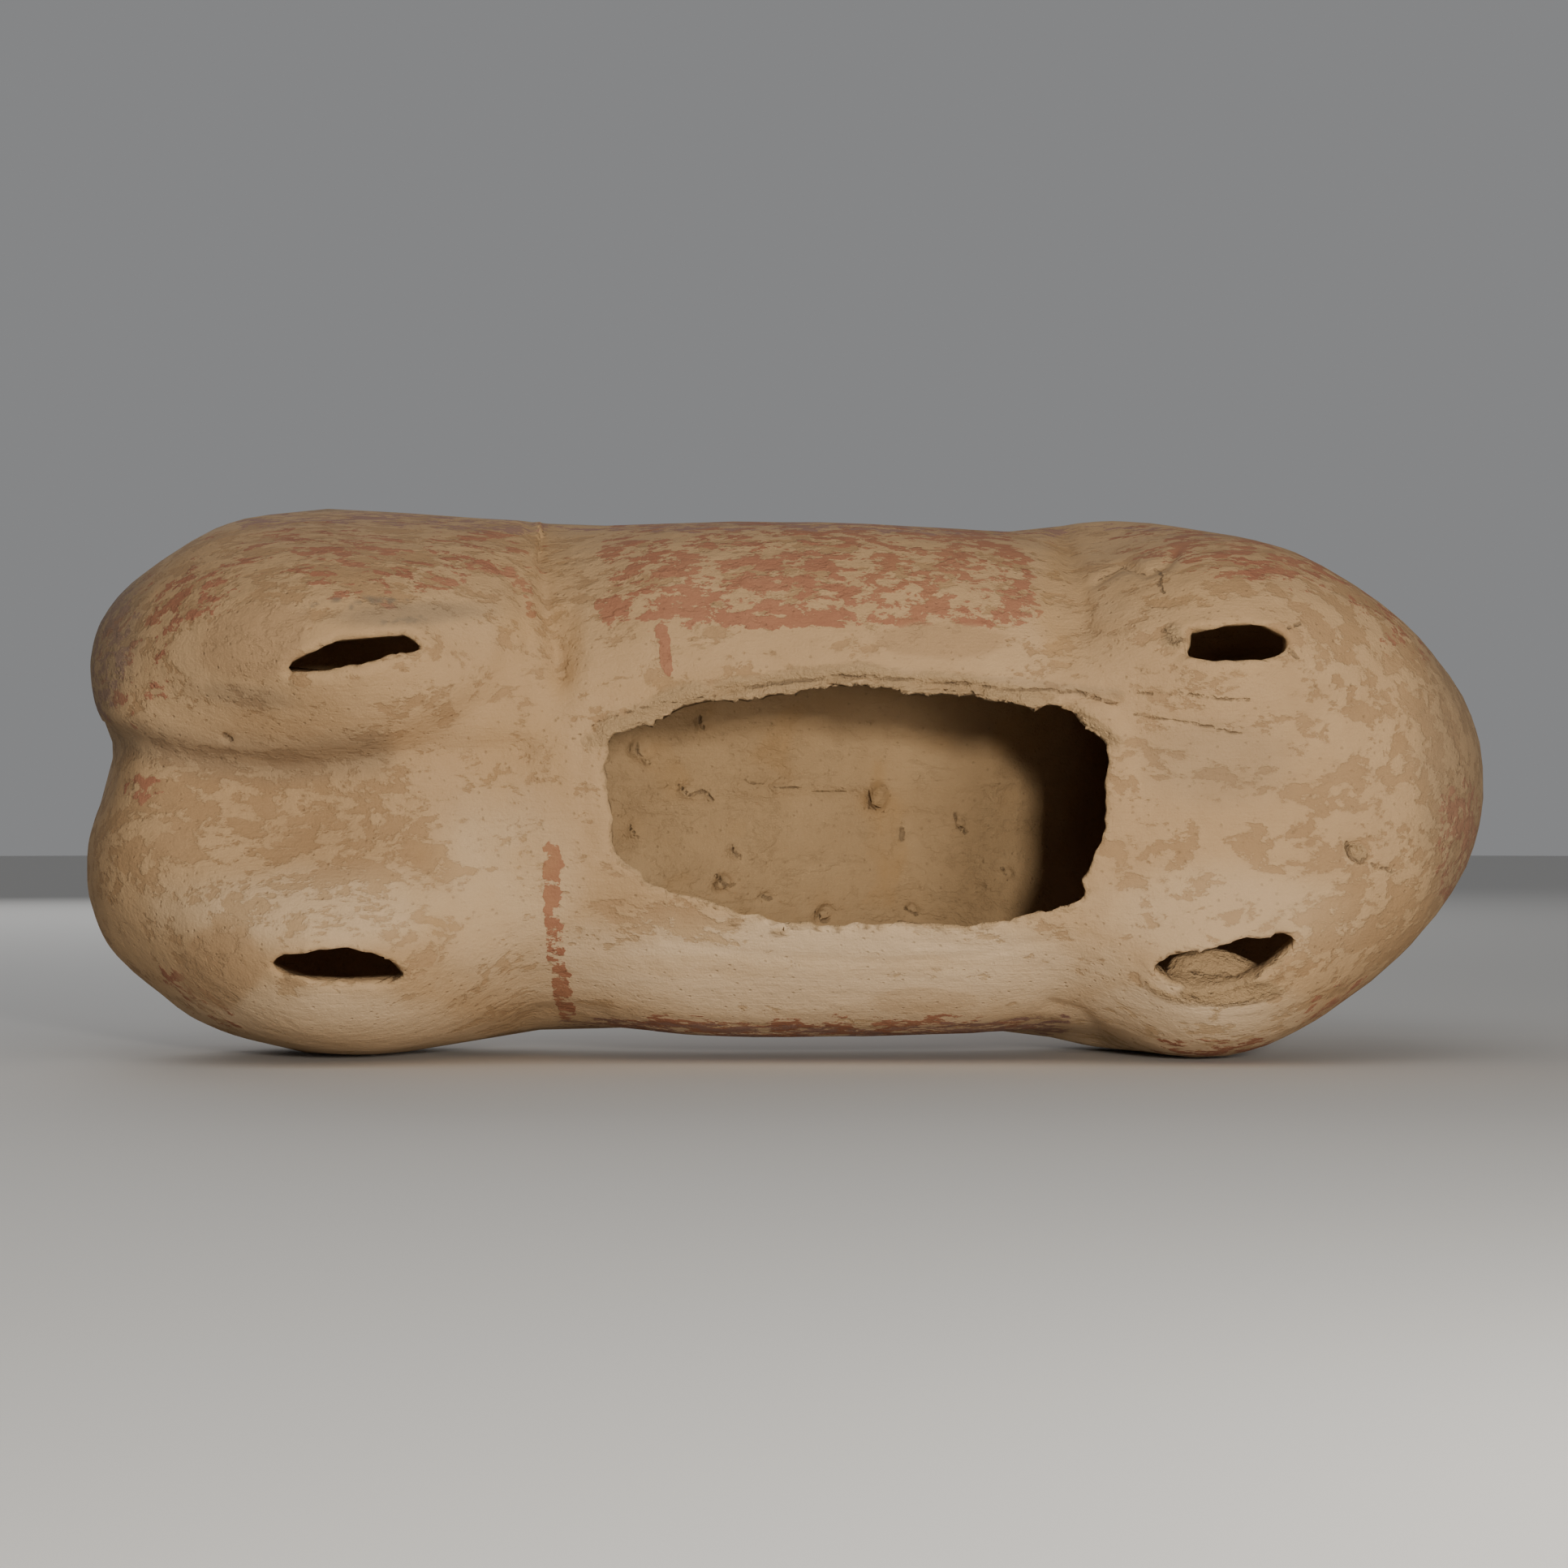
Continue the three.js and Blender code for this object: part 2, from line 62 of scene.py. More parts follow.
# %% The figure's own axes
FIGURE_MIDDLE = np.array([-0.00947, -0.11119, 0.11738])
FORWARD = np.array([1.0, 0.0, -0.007])
LEFT = np.array([-0.007, 0.074, -0.997])
UP = np.array([0.0, 0.997, 0.074])
AXES = np.stack([FORWARD, LEFT, UP])
BODY_LENGTH = 0.620


def figure_of(points):
    """Places along the figure's forward, left and up axes, from its middle."""
    return (points - FIGURE_MIDDLE) @ AXES.T


def scene_of(points):
    """The same places back in the scene."""
    return points @ AXES + FIGURE_MIDDLE


print("middle of the figure:", FIGURE_MIDDLE)

# %% [markdown]
# ## The camera
#
# The photograph looks level at the belly from a couple of metres away, with a long lens. The camera comes
# early, because many small marks are placed by where they show in the photograph. One function tells in
# which pixel a point of the horse shows, and another finds the point behind a pixel at a given distance.

# %% The camera
PHOTO_SIZE = 1932
METRES_PER_PIXEL = 0.00036
CAMERA_AWAY = 2.15
CAMERA_PLACE = Vector((FIGURE_MIDDLE[0], FIGURE_MIDDLE[1] - CAMERA_AWAY, 0.12038))
SENSOR = 36.0

camera_data = bpy.data.cameras.new("camera")
camera_data.sensor_width = SENSOR
camera_data.sensor_fit = "HORIZONTAL"
camera_data.lens = SENSOR * CAMERA_AWAY / (PHOTO_SIZE * METRES_PER_PIXEL)
camera = bpy.data.objects.new("camera", camera_data)
camera.location = CAMERA_PLACE
camera.rotation_euler = (math.radians(90), 0, 0)
bpy.context.scene.collection.objects.link(camera)
bpy.context.scene.camera = camera
print("lens:", round(camera_data.lens, 1), "mm")


def seen_at(points):
    """The photo pixels, across and down, in which points of the scene show."""
    scale = CAMERA_AWAY / (METRES_PER_PIXEL * (points[:, 1] - CAMERA_PLACE.y))
    across = PHOTO_SIZE / 2 + (points[:, 0] - CAMERA_PLACE.x) * scale
    down = PHOTO_SIZE / 2 - (points[:, 2] - CAMERA_PLACE.z) * scale
    return across, down


def behind(across, down, away):
    """The point of the scene that shows in a photo pixel, that far from the camera."""
    scale = METRES_PER_PIXEL * away / CAMERA_AWAY
    right = (across - PHOTO_SIZE / 2) * scale
    drop = (down - PHOTO_SIZE / 2) * scale
    return Vector((CAMERA_PLACE.x + right, CAMERA_PLACE.y + away, CAMERA_PLACE.z - drop))


# %% [markdown]
# ## A fine skin over the plain shell
#
# The shell has large flat facets. A voxel remesh gives it an even skin that is fine enough to model, and a
# little smoothing rounds the facets off. The remesh works on a copy, because the shell itself stays as it
# is. A few crumbs of clay go in first, so that the remesh grows them into the wall: one is the broken
# corner of the right fore socket, the others are the rough clay that still shows inside the left one.

# %% A fine skin over the plain shell
VOXEL = 0.0019
MERGE_DISTANCE = 1e-6
FACET_PASSES = 6
SOCKET_CRUMBS = [
    # photo pixel, distance behind the belly, half sizes across, in depth and down the photo, turn in degrees
    ((1452, 792), 0.013, (0.0050, 0.0050, 0.0060), -12),
    ((1492, 1190), 0.0385, (0.0240, 0.0080, 0.0120), 8),
    ((1462, 1206), 0.0350, (0.0100, 0.0070, 0.0070), -20),
    ((1556, 1208), 0.0400, (0.0120, 0.0080, 0.0065), -24),
]
STUMP_AWAY = CAMERA_AWAY - 0.122


def add_crumb(edit, place, half_sizes, turn):
    """Adds a rounded crumb of clay to a mesh."""
    grown = Matrix.Diagonal((*half_sizes, 1.0))
    turned = Matrix.Rotation(math.radians(turn), 4, "Y")
    placed = Matrix.Translation(place) @ turned @ grown
    bmesh.ops.create_icosphere(edit, subdivisions=3, radius=1.0, matrix=placed)


def fine_copy(source, name):
    """A merged and finely remeshed copy of an object's mesh, with the crumbs."""
    mesh = source.data.copy()
    edit = bmesh.new()
    edit.from_mesh(mesh)
    bmesh.ops.remove_doubles(edit, verts=edit.verts, dist=MERGE_DISTANCE)
    for (across, down), deeper, half_sizes, turn in SOCKET_CRUMBS:
        add_crumb(edit, behind(across, down, STUMP_AWAY + deeper), half_sizes, turn)
    edit.to_mesh(mesh)
    edit.free()
    piece = bpy.data.objects.new(name, mesh)
    bpy.context.scene.collection.objects.link(piece)
    remesh = piece.modifiers.new("skin", "REMESH")
    remesh.mode = "VOXEL"
    remesh.voxel_size = VOXEL
    graph = bpy.context.evaluated_depsgraph_get()
    fine = bpy.data.meshes.new_from_object(piece.evaluated_get(graph))
    piece.modifiers.clear()
    piece.data = fine
    return piece


horse = fine_copy(shell, "hollow_horse")
print("fine skin:", len(horse.data.vertices), "points")

# %% [markdown]
# ## Tools for modelling
#
# Hand-built clay is never even. A small gradient noise, worked out for all points at once, moves the skin
# where a thumb, a paddle or a break moved the clay. The other tools read and write the points of a mesh,
# and measure how far a point is from a line drawn over the photograph.

# %% Tools for modelling
WEIGHT_LEVELS = 5
FAR = 1e9
TINY = 1e-6


def lattice(whole, seed):
    """Repeatable random directions at whole-number places."""
    mixed = whole[..., 0] * 73856093 ^ whole[..., 1] * 19349663
    mixed = mixed ^ whole[..., 2] * 83492791 ^ seed * 2654435
    mixed = (mixed ^ (mixed >> 13)) * 1274126177 & 0x7FFFFFFF
    turn = (mixed & 0xFFFF) / 0xFFFF * 2 * math.pi
    rise = ((mixed >> 15) & 0xFFFF) / 0xFFFF * 2 - 1
    flat = np.sqrt(1 - np.clip(rise, -1, 1) ** 2)
    return np.stack([flat * np.cos(turn), flat * np.sin(turn), rise], -1)


def noise(points, size, seed=0, stretch=(1, 1, 1)):
    """Smooth noise of about -1 to 1 with bumps of a given size."""
    scaled = points / (np.array(stretch) * size)
    whole = np.floor(scaled).astype(np.int64)
    part = scaled - whole
    ease = part * part * part * (part * (part * 6 - 15) + 10)
    total = np.zeros(len(points))
    for corner in np.ndindex(2, 2, 2):
        offset = np.array(corner)
        weight = np.prod(np.where(offset == 1, ease, 1 - ease), axis=-1)
        total += weight * (lattice(whole + offset, seed) * (part - offset)).sum(-1)
    return total * 1.6


def rough(points, size, seed, octaves):
    """Noise with finer noise on it."""
    total = np.zeros(len(points))
    for octave in range(octaves):
        total += noise(points, size / 2**octave, seed + octave) / 2**octave
    return total


def smooth(low, high, value):
    """A smooth step from 0 at low to 1 at high, upwards or downwards."""
    share = np.clip((value - low) / (high - low), 0, 1)
    return share * share * (3 - 2 * share)


def bell(distance, width):
    """1 at no distance, falling away over a width."""
    return np.exp(-((distance / width) ** 2))


def points_of(mesh):
    """All points of a mesh as an array."""
    flat = np.empty(len(mesh.vertices) * 3, np.float32)
    mesh.vertices.foreach_get("co", flat)
    return flat.reshape(-1, 3).astype(float)


def normals_of(mesh):
    """All point normals of a mesh as an array."""
    flat = np.empty(len(mesh.vertices) * 3, np.float32)
    mesh.vertex_normals.foreach_get("vector", flat)
    return flat.reshape(-1, 3).astype(float)


def set_points(mesh, points):
    """Moves the points of a mesh."""
    mesh.vertices.foreach_set("co", points.reshape(-1).astype(np.float32))
    mesh.update()


def weigh(piece, name, weights):
    """Makes a vertex group of a few levels from an array of weights."""
    group = piece.vertex_groups.new(name=name)
    levels = np.clip(np.round(weights * WEIGHT_LEVELS), 0, WEIGHT_LEVELS).astype(int)
    for level in range(1, WEIGHT_LEVELS + 1):
        group.add(np.flatnonzero(levels == level).tolist(), level / WEIGHT_LEVELS, "REPLACE")
    return group.name


def soften(piece, passes, factor=0.5, weights=None):
    """Smooths a piece's mesh, everywhere or by weight."""
    modifier = piece.modifiers.new("soften", "SMOOTH")
    modifier.factor = factor
    modifier.iterations = passes
    if weights is not None:
        modifier.vertex_group = weigh(piece, "soft", weights)
    graph = bpy.context.evaluated_depsgraph_get()
    mesh = bpy.data.meshes.new_from_object(piece.evaluated_get(graph))
    piece.modifiers.clear()
    piece.vertex_groups.clear()
    piece.data = mesh


def from_line(across, down, line):
    """Distance in pixels from a line of photo points, positive to its right."""
    nearest = np.full(len(across), FAR)
    signed = np.full(len(across), FAR)
    for (x0, y0), (x1, y1) in zip(line[:-1], line[1:]):
        run, fall = x1 - x0, y1 - y0
        passed = (across - x0) * run + (down - y0) * fall
        share = np.clip(passed / (run * run + fall * fall), 0, 1)
        away_x, away_y = across - x0 - share * run, down - y0 - share * fall
        distance = np.hypot(away_x, away_y)
        side = np.sign(run * (down - y0) - fall * (across - x0))
        closer = distance < nearest
        nearest = np.where(closer, distance, nearest)
        signed = np.where(closer, distance * side, signed)
    return signed


def spot(across, down, middle, half_sizes, turn=0.0):
    """How far a pixel is from the middle of a turned oval, 1 on its edge."""
    cos, sin = math.cos(math.radians(turn)), math.sin(math.radians(turn))
    right, low = across - middle[0], down - middle[1]
    along, beside = right * cos + low * sin, low * cos - right * sin
    return np.hypot(along / half_sizes[0], beside / half_sizes[1])


soften(horse, FACET_PASSES)

# %% [markdown]
# ## Inside and edges
#
# Every mark on the horse depends on where it is: on the outside, in the cavity, or on the broken edge
# between them. The cavity's wall faces a line through the middle of the body, neck and head, and the
# outside faces away from it. On the edge of an opening the wall faces across the opening, so those points
# are found by their direction, and the distance from them tells how close to the edge a point is.

# %% Inside and edges
MIDDLE_LINE = np.array([(-46, 1.5), (20, 1), (34, 8), (36, 30), (34.5, 45), (45, 27)]) * BODY_LENGTH / 100
BELLY_OPENING = {"middle": (0.0298, 0.0, -0.104), "half_sizes": (0.113, 0.056, 0.030)}
EDGE_REACH = 0.034
SOCKET_REACH = 0.014
SOCKET_HALF_SIZES = (0.034, 0.0135, 0.017)
SOCKETS = {
    # forward, left and up of the middle, lean of the leg in degrees
    "hind_right": ((-0.1804, -0.0657, -0.1220), -6),
    "hind_left": ((-0.1885, 0.0676, -0.1220), 8),
    "fore_right": ((0.1854, -0.0725, -0.1180), -5),
    "fore_left": ((0.1866, 0.0688, -0.1180), 24),
}


def how_inside(figure, facing):
    """1 on the wall of the cavity and 0 on the outside."""
    nearest = np.full(len(figure), FAR)
    towards = np.zeros_like(figure)
    for (x0, z0), (x1, z1) in zip(MIDDLE_LINE[:-1], MIDDLE_LINE[1:]):
        run, rise = x1 - x0, z1 - z0
        passed = (figure[:, 0] - x0) * run + (figure[:, 2] - z0) * rise
        share = np.clip(passed / (run * run + rise * rise), 0, 1)
        way = np.stack([x0 + share * run - figure[:, 0], -figure[:, 1], z0 + share * rise - figure[:, 2]], -1)
        length = np.linalg.norm(way, axis=1)
        closer = length < nearest
        nearest = np.where(closer, length, nearest)
        towards[closer] = (way / np.maximum(length, TINY)[:, None])[closer]
    return smooth(-0.05, 0.35, (towards * facing).sum(1))


def from_edge(figure, facing, middle, half_sizes, axis, reach=EDGE_REACH):
    """Distance of every point from the edge of an opening, at most its reach."""
    offset = figure - np.array(middle)
    level = offset @ axis
    forward = offset[:, 0]
    sideways = offset @ np.cross(axis, [1.0, 0.0, 0.0])
    oval = np.hypot(forward / half_sizes[0], sideways / half_sizes[1])
    edge = (np.abs(facing @ axis) < 0.45) & (oval < 1.08) & (np.abs(level) < half_sizes[2])
    tree = KDTree(int(edge.sum()))
    for number, point in enumerate(figure[edge]):
        tree.insert(point, number)
    tree.balance()
    distance = np.full(len(figure), reach)
    grown = np.hypot(forward / (half_sizes[0] + reach), sideways / (half_sizes[1] + reach))
    for number in np.flatnonzero((grown < 1.1) & (np.abs(level) < half_sizes[2] + reach)):
        distance[number] = min(reach, tree.find(figure[number])[2])
    return distance


def opening_distances(figure, facing):
    """Distances from the torn belly edge and from the nearest leg socket."""
    upright = np.array([0.0, 0.0, 1.0])
    belly = from_edge(figure, facing, BELLY_OPENING["middle"], BELLY_OPENING["half_sizes"], upright)
    socket = np.full(len(figure), EDGE_REACH)
    for middle, lean in SOCKETS.values():
        leg = np.array([0.0, -math.sin(math.radians(lean)), math.cos(math.radians(lean))])
        distance = from_edge(figure, facing, middle, SOCKET_HALF_SIZES, leg, SOCKET_REACH)
        socket = np.minimum(socket, np.where(distance < SOCKET_REACH - 0.0001, distance, EDGE_REACH))
    return belly, socket


def survey(piece):
    """Points, directions and places of a piece: along the figure, in the photograph and beside its edges."""
    points, normals = points_of(piece.data), normals_of(piece.data)
    figure, facing = figure_of(points), normals @ AXES.T
    inside = how_inside(figure, facing)
    across, down = seen_at(points)
    return points, normals, figure, facing, inside, across, down, *opening_distances(figure, facing)


points, normals, figure, facing, inside, across, down, belly_edge, socket_edge = survey(horse)
HEAD_FORWARD, HEAD_UP, HEAD_FADE = 0.18, 0.11, 0.03
TAIL_SOCKET = np.array([-0.305, 0.0, 0.0595])
EVENING_PASSES, EVENING_FACTOR = 140, 0.7
on_head = smooth(HEAD_FORWARD - HEAD_FADE, HEAD_FORWARD, figure[:, 0])
on_head *= smooth(HEAD_UP - HEAD_FADE, HEAD_UP, figure[:, 2])
near_tail = bell(np.linalg.norm(figure - TAIL_SOCKET, axis=1), 0.02)
even = smooth(0.003, 0.014, belly_edge) * smooth(0.002, 0.010, socket_edge) * (1 - on_head) * (1 - near_tail)
soften(horse, EVENING_PASSES, EVENING_FACTOR, even)
points, normals, figure, facing, inside, across, down, belly_edge, socket_edge = survey(horse)
print("cavity share:", round(float(inside.mean()), 2))
print("points on the belly edge:", int((belly_edge < 0.001).sum()))
print("points on the socket edges:", int((socket_edge < 0.001).sum()))

# %% [markdown]
# ## Thin and ragged edges
#
# The potter scraped the belly thin, so the torn wall runs out to a few millimetres. Only the inner face
# moves, by an amount that fades away from the edge. Then two sizes of noise push the edge in and out, large
# bites with small crumbs on them. Along the right side of the opening an outer layer has split off and left
# a stepped, crumbly ledge.

# %% Thin and ragged edges
OPENING_MIDDLE = np.array(BELLY_OPENING["middle"])
BELLY_THINNING = 0.0048
LEDGE_ACROSS = (770, 800, 1360, 1400)
LEDGE_DOWN = 930
LEDGE_WIDTH = 0.0072
LEDGE_STEPS = (0.0021, 0.0019)

outside = 1 - inside
thinning = BELLY_THINNING * smooth(EDGE_REACH, 0.004, belly_edge) * inside
figure = figure - facing * thinning[:, None]

ragged = smooth(0.010, 0.001, belly_edge)
outward = figure - OPENING_MIDDLE
outward[:, 2] = 0
outward /= np.maximum(np.linalg.norm(outward, axis=1), TINY)[:, None]
bites = 0.0015 * noise(figure, 0.011, 3) + 0.0011 * noise(figure, 0.0050, 4)
figure = figure + outward * (bites * ragged)[:, None]
figure[:, 2] += 0.0009 * noise(figure, 0.006, 5) * ragged

ledge = smooth(LEDGE_ACROSS[0], LEDGE_ACROSS[1], across) * smooth(LEDGE_ACROSS[3], LEDGE_ACROSS[2], across)
ledge *= smooth(LEDGE_DOWN, LEDGE_DOWN - 20, down) * outside
ledge_width = LEDGE_WIDTH + 0.0026 * noise(figure, 0.016, 6) + 0.0014 * noise(figure, 0.005, 7)
step_down = smooth(ledge_width + 0.0008, ledge_width - 0.0008, belly_edge)
second_step = smooth(ledge_width * 0.5 + 0.0006, ledge_width * 0.5 - 0.0006, belly_edge)
crumbs = 0.0012 * rough(figure, 0.005, 8, 2)
ledge_depth = (LEDGE_STEPS[0] * step_down + LEDGE_STEPS[1] * second_step + crumbs * step_down) * ledge
figure = figure - facing * ledge_depth[:, None]

socket_bites = smooth(0.006, 0.0005, socket_edge)
socket_noise = 0.0007 * noise(figure, 0.006, 9) + 0.0004 * noise(figure, 0.003, 10)
figure = figure + facing * (socket_noise * socket_bites)[:, None]
print("thinned points:", int((thinning > 0.001).sum()), "ledge points:", int((ledge_depth > 0.001).sum()))

# %% [markdown]
# ## Hand-built clay
#
# The outside was paddled and scraped, and swells softly. The inside was only smoothed with wet fingers, so
# it is lumpier. On top come the marks that the photograph shows, each along a line or an oval drawn over
# it: the ledge under the right thigh, the hollows of flank and armpits, creases, a chip and a pit. Crumbs
# of clay stick to the inside of the back. All of them move the skin along its own direction. The wall under
# the cleft is thickened a little, so that the valley on the outside can't break through it.

# %% Hand-built clay
MILLIMETRE = 0.001
THIGH_LEDGE = [(138, 893), (200, 921), (300, 938), (400, 932), (490, 912)]
THIGH_LEDGE += [(560, 876), (612, 826), (644, 770), (658, 700)]
STEPS = [
    # line, height in mm, half width in pixels: the left side, looking along it, is higher
    (THIGH_LEDGE, 5.0, 24),
    ([(1368, 868), (1388, 905), (1396, 960), (1392, 1040), (1380, 1090)], -1.7, 8),
    ([(640, 1262), (640, 1235), (624, 1180), (596, 1130)], 0.8, 14),
]
GROOVES = [
    # line, depth in mm, half width in pixels
    ([(150, 916), (230, 940), (320, 950), (430, 946), (540, 930), (640, 925)], 3.0, 18),
    ([(1302, 640), (1318, 680), (1332, 720), (1338, 770)], 2.4, 14),
    ([(1296, 1240), (1330, 1250), (1352, 1272), (1362, 1292)], 1.7, 10),
    ([(640, 1268), (660, 1250), (700, 1242), (742, 1246)], 1.2, 9),
    ([(1352, 716), (1384, 700), (1412, 708), (1438, 694), (1446, 682)], 2.0, 6),
    ([(1392, 852), (1460, 856), (1538, 864)], 0.5, 3),
    ([(1398, 880), (1450, 888), (1530, 905)], 0.4, 3),
    ([(735, 860), (722, 900), (716, 960), (722, 1030)], 0.5, 8),
    ([(880, 850), (960, 838), (1040, 834), (1120, 838), (1240, 848), (1376, 862)], 2.4, 5),
    ([(650, 650), (668, 700), (676, 760), (692, 830)], 1.8, 9),
    ([(612, 700), (640, 740), (650, 800), (640, 850)], 1.2, 9),
    ([(820, 1160), (930, 1178), (1060, 1186), (1200, 1180), (1300, 1158)], 0.5, 6),
    ([(690, 1262), (900, 1272), (1100, 1276), (1300, 1262)], 0.7, 7),
    ([(1120, 1160), (1200, 1168), (1270, 1160)], 0.35, 3),
]
HOLLOWS = [
    # middle, half sizes in pixels, turn in degrees, depth in mm
    ((690, 802), (24, 64), 4, 5.0),
    ((600, 940), (90, 30), -6, 1.2),
    ((560, 1215), (70, 40), 30, 1.0),
    ((1690, 975), (90, 26), 4, 1.2),
    ((1310, 760), (24, 80), 0, 0.9),
    ((1512, 1224), (62, 15), -4, 3.2),
    ((1500, 940), (60, 22), 0, 0.7),
    ((280, 908), (6, 6), 0, 2.4),
    ((1670, 1049), (15, 11), 28, 4.6),
    ((1704, 1070), (14, 4), 8, 0.6),
    ((1428, 1084), (6, 5), 0, 0.8),
    ((880, 1199), (4, 3), 0, 0.9),
    ((690, 738), (16, 7), 0, -1.0),
]
SWELLINGS = [
    ((1395, 745), (34, 40), 0, 1.8),
    ((650, 765), (17, 66), 8, 2.6),
    ((230, 1010), (110, 50), 0, 0.9),
    ((1480, 720), (80, 22), 4, 0.9),
]
INSIDE_CRUMBS = [
    # photo pixel, half size in pixels, height in mm
    ((1081, 985), 14, 5.2),
    ((1086, 972), 9, 3.2),
    ((787, 924), 11, 3.4),
    ((799, 938), 8, 3.0),
    ((866, 890), 8, 2.6),
    ((893, 1087), 10, 4.0),
    ((884, 1094), 7, 3.0),
    ((1017, 1125), 10, 4.2),
    ((1010, 1134), 7, 3.0),
    ((1182, 1014), 7, 2.8),
    ((1110, 1030), 7, 2.4),
    ((907, 1052), 8, 2.4),
    ((956, 1052), 7, 2.0),
    ((1123, 1122), 8, 2.6),
    ((848, 976), 9, 2.2),
    ((878, 982), 7, 1.8),
    ((781, 1025), 7, 2.0),
    ((943, 1106), 7, 2.0),
    ((1240, 1076), 7, 2.2),
    ((958, 972), 8, 1.8),
    ((1205, 1095), 7, 2.0),
]

BACK_RIDGE = [(760, 985), (900, 972), (1000, 966), (1120, 972), (1260, 962)]
CLEFT_THICKENING = 5.0

seen = smooth(0.02, 0.30, -normals[:, 1])
painted = outside * seen
swell = outside * (1.0 * noise(points, 0.075, 20) + 0.50 * noise(points, 0.026, 21, (1.6, 1, 1)))
swell += outside * 0.24 * noise(points, 0.009, 22, (2.5, 1, 1))
swell += inside * (1.1 * noise(points, 0.050, 23) + 0.90 * noise(points, 0.020, 24))
swell += inside * 0.38 * noise(points, 0.008, 25)
valley_wall = smooth(-0.30, -0.24, figure[:, 0]) * smooth(-0.09, -0.14, figure[:, 0])
valley_wall *= smooth(0.06, 0.03, np.abs(figure[:, 1]))
swell += inside * CLEFT_THICKENING * valley_wall * smooth(-0.03, -0.06, figure[:, 2])
wander = 5 * noise(points, 0.030, 26)
for line, height, half_width in STEPS:
    distance = from_line(across, down, line) + wander
    raised = smooth(half_width, -half_width, distance) - 0.5
    swell += painted * height * raised * bell(distance, half_width * 4.5)
for line, depth, half_width in GROOVES:
    distance = from_line(across, down, line) + 0.5 * wander
    swell -= painted * depth * bell(distance, half_width)
for middle, half_sizes, turn, depth in HOLLOWS:
    swell -= painted * depth * bell(spot(across, down, middle, half_sizes, turn), 0.85)
for middle, half_sizes, turn, height in SWELLINGS:
    swell += painted * height * bell(spot(across, down, middle, half_sizes, turn), 0.9)
on_back = inside * smooth(0.2, 0.5, -normals[:, 1])
for (x, y), half_size, height in INSIDE_CRUMBS:
    distance = np.hypot(across - x, down - y) + 3.5 * noise(points, 0.006, 27)
    swell += on_back * height * smooth(half_size * 1.25, half_size * 0.55, distance)
swell += on_back * 1.5 * bell(from_line(across, down, BACK_RIDGE) + wander, 8)
figure = figure + facing * (swell * MILLIMETRE)[:, None]
set_points(horse.data, scene_of(figure))
print("largest move:", round(float(np.abs(swell).max()), 1), "mm")

# %% [markdown]
# ## Thin it out again
#
# The voxels gave the same small faces everywhere. The decimate modifier keeps them where the form turns
# quickly, and a vertex group lets it take more from the sides that are not seen from the belly.

# %% Thin it out again
MOST_TRIANGLES = 188_000


def triangle_count(mesh):
    """How many triangles the faces of a mesh come to."""
    return sum(len(face.vertices) - 2 for face in mesh.polygons)


def thin_out(piece, most, weights):
    """Brings a piece under a number of triangles, more where the weights are high."""
    triangles = triangle_count(piece.data)
    modifier = piece.modifiers.new("thin", "DECIMATE")
    modifier.ratio = min(1.0, most / triangles)
    modifier.vertex_group = weigh(piece, "plain", weights)
    modifier.vertex_group_factor = 1.0
    graph = bpy.context.evaluated_depsgraph_get()
    thinned = bpy.data.meshes.new_from_object(piece.evaluated_get(graph))
    piece.modifiers.clear()
    piece.vertex_groups.clear()
    piece.data = thinned
    print("thinned from", triangles, "to", triangle_count(thinned), "triangles")


behind_opening = smooth(0.16, 0.12, np.abs(figure[:, 0] - OPENING_MIDDLE[0]))
looked_at = np.maximum(painted, on_back * behind_opening) + smooth(0.02, 0.004, belly_edge)
thin_out(horse, MOST_TRIANGLES, 1 - 0.8 * np.clip(looked_at, 0, 1))
horse.data.shade_smooth()

# %% [markdown]
# ## Where slip, paint, stains and painted light lie
#
# The clay was coated with a cream slip, and over it went a red saddle cloth with its straps, and red and
# purple on haunches and breast. Most of it has flaked off in crisp islands. Each layer is first laid down
# as a soft share of cover for every point: in the photograph's pixels where it shows, and along the
# figure's own axes where it goes on round the unseen back. The material later breaks the shares up into
# flakes. Some layers also hold painted light and shade: a paler lower half stands in for light on the
# lower side, and the soot and plum layers darken the shade under the right thigh's ledge and at the
# turned-away left end of the haunch. Cracks and scratches, with the painted shade in them and the
# painted shadows beside the crumbs inside, are kept as a distance from drawn lines, so that they stay
# sharper than the mesh.

# %% Where slip, paint, stains and painted light lie
mesh = horse.data
points, normals, figure, facing, inside, across, down, belly_edge, socket_edge = survey(horse)
outside = 1 - inside
front = outside * smooth(-0.15, 0.15, -normals[:, 1])
hidden = outside - front
wander = 9 * noise(points, 0.022, 30) + 4 * noise(points, 0.007, 31)


def oval(middle, half_sizes, turn=0.0, edge=0.45):
    """A soft oval patch on the photographed side."""
    return front * smooth(1 + edge, 1 - edge, spot(across, down, middle, half_sizes, turn) + wander / 60)


def band(line, half_width, edge=0.35):
    """A soft-edged stroke along a line on the photographed side."""
    distance = np.abs(from_line(across, down, line) + 0.3 * wander)
    return front * smooth(half_width * (1 + edge), half_width * (1 - edge), distance)


def deepest(share, *patches):
    """A share raised to each patch's cover where that is more."""
    for cover, patch in patches:
        share = np.maximum(share, cover * patch)
    return share


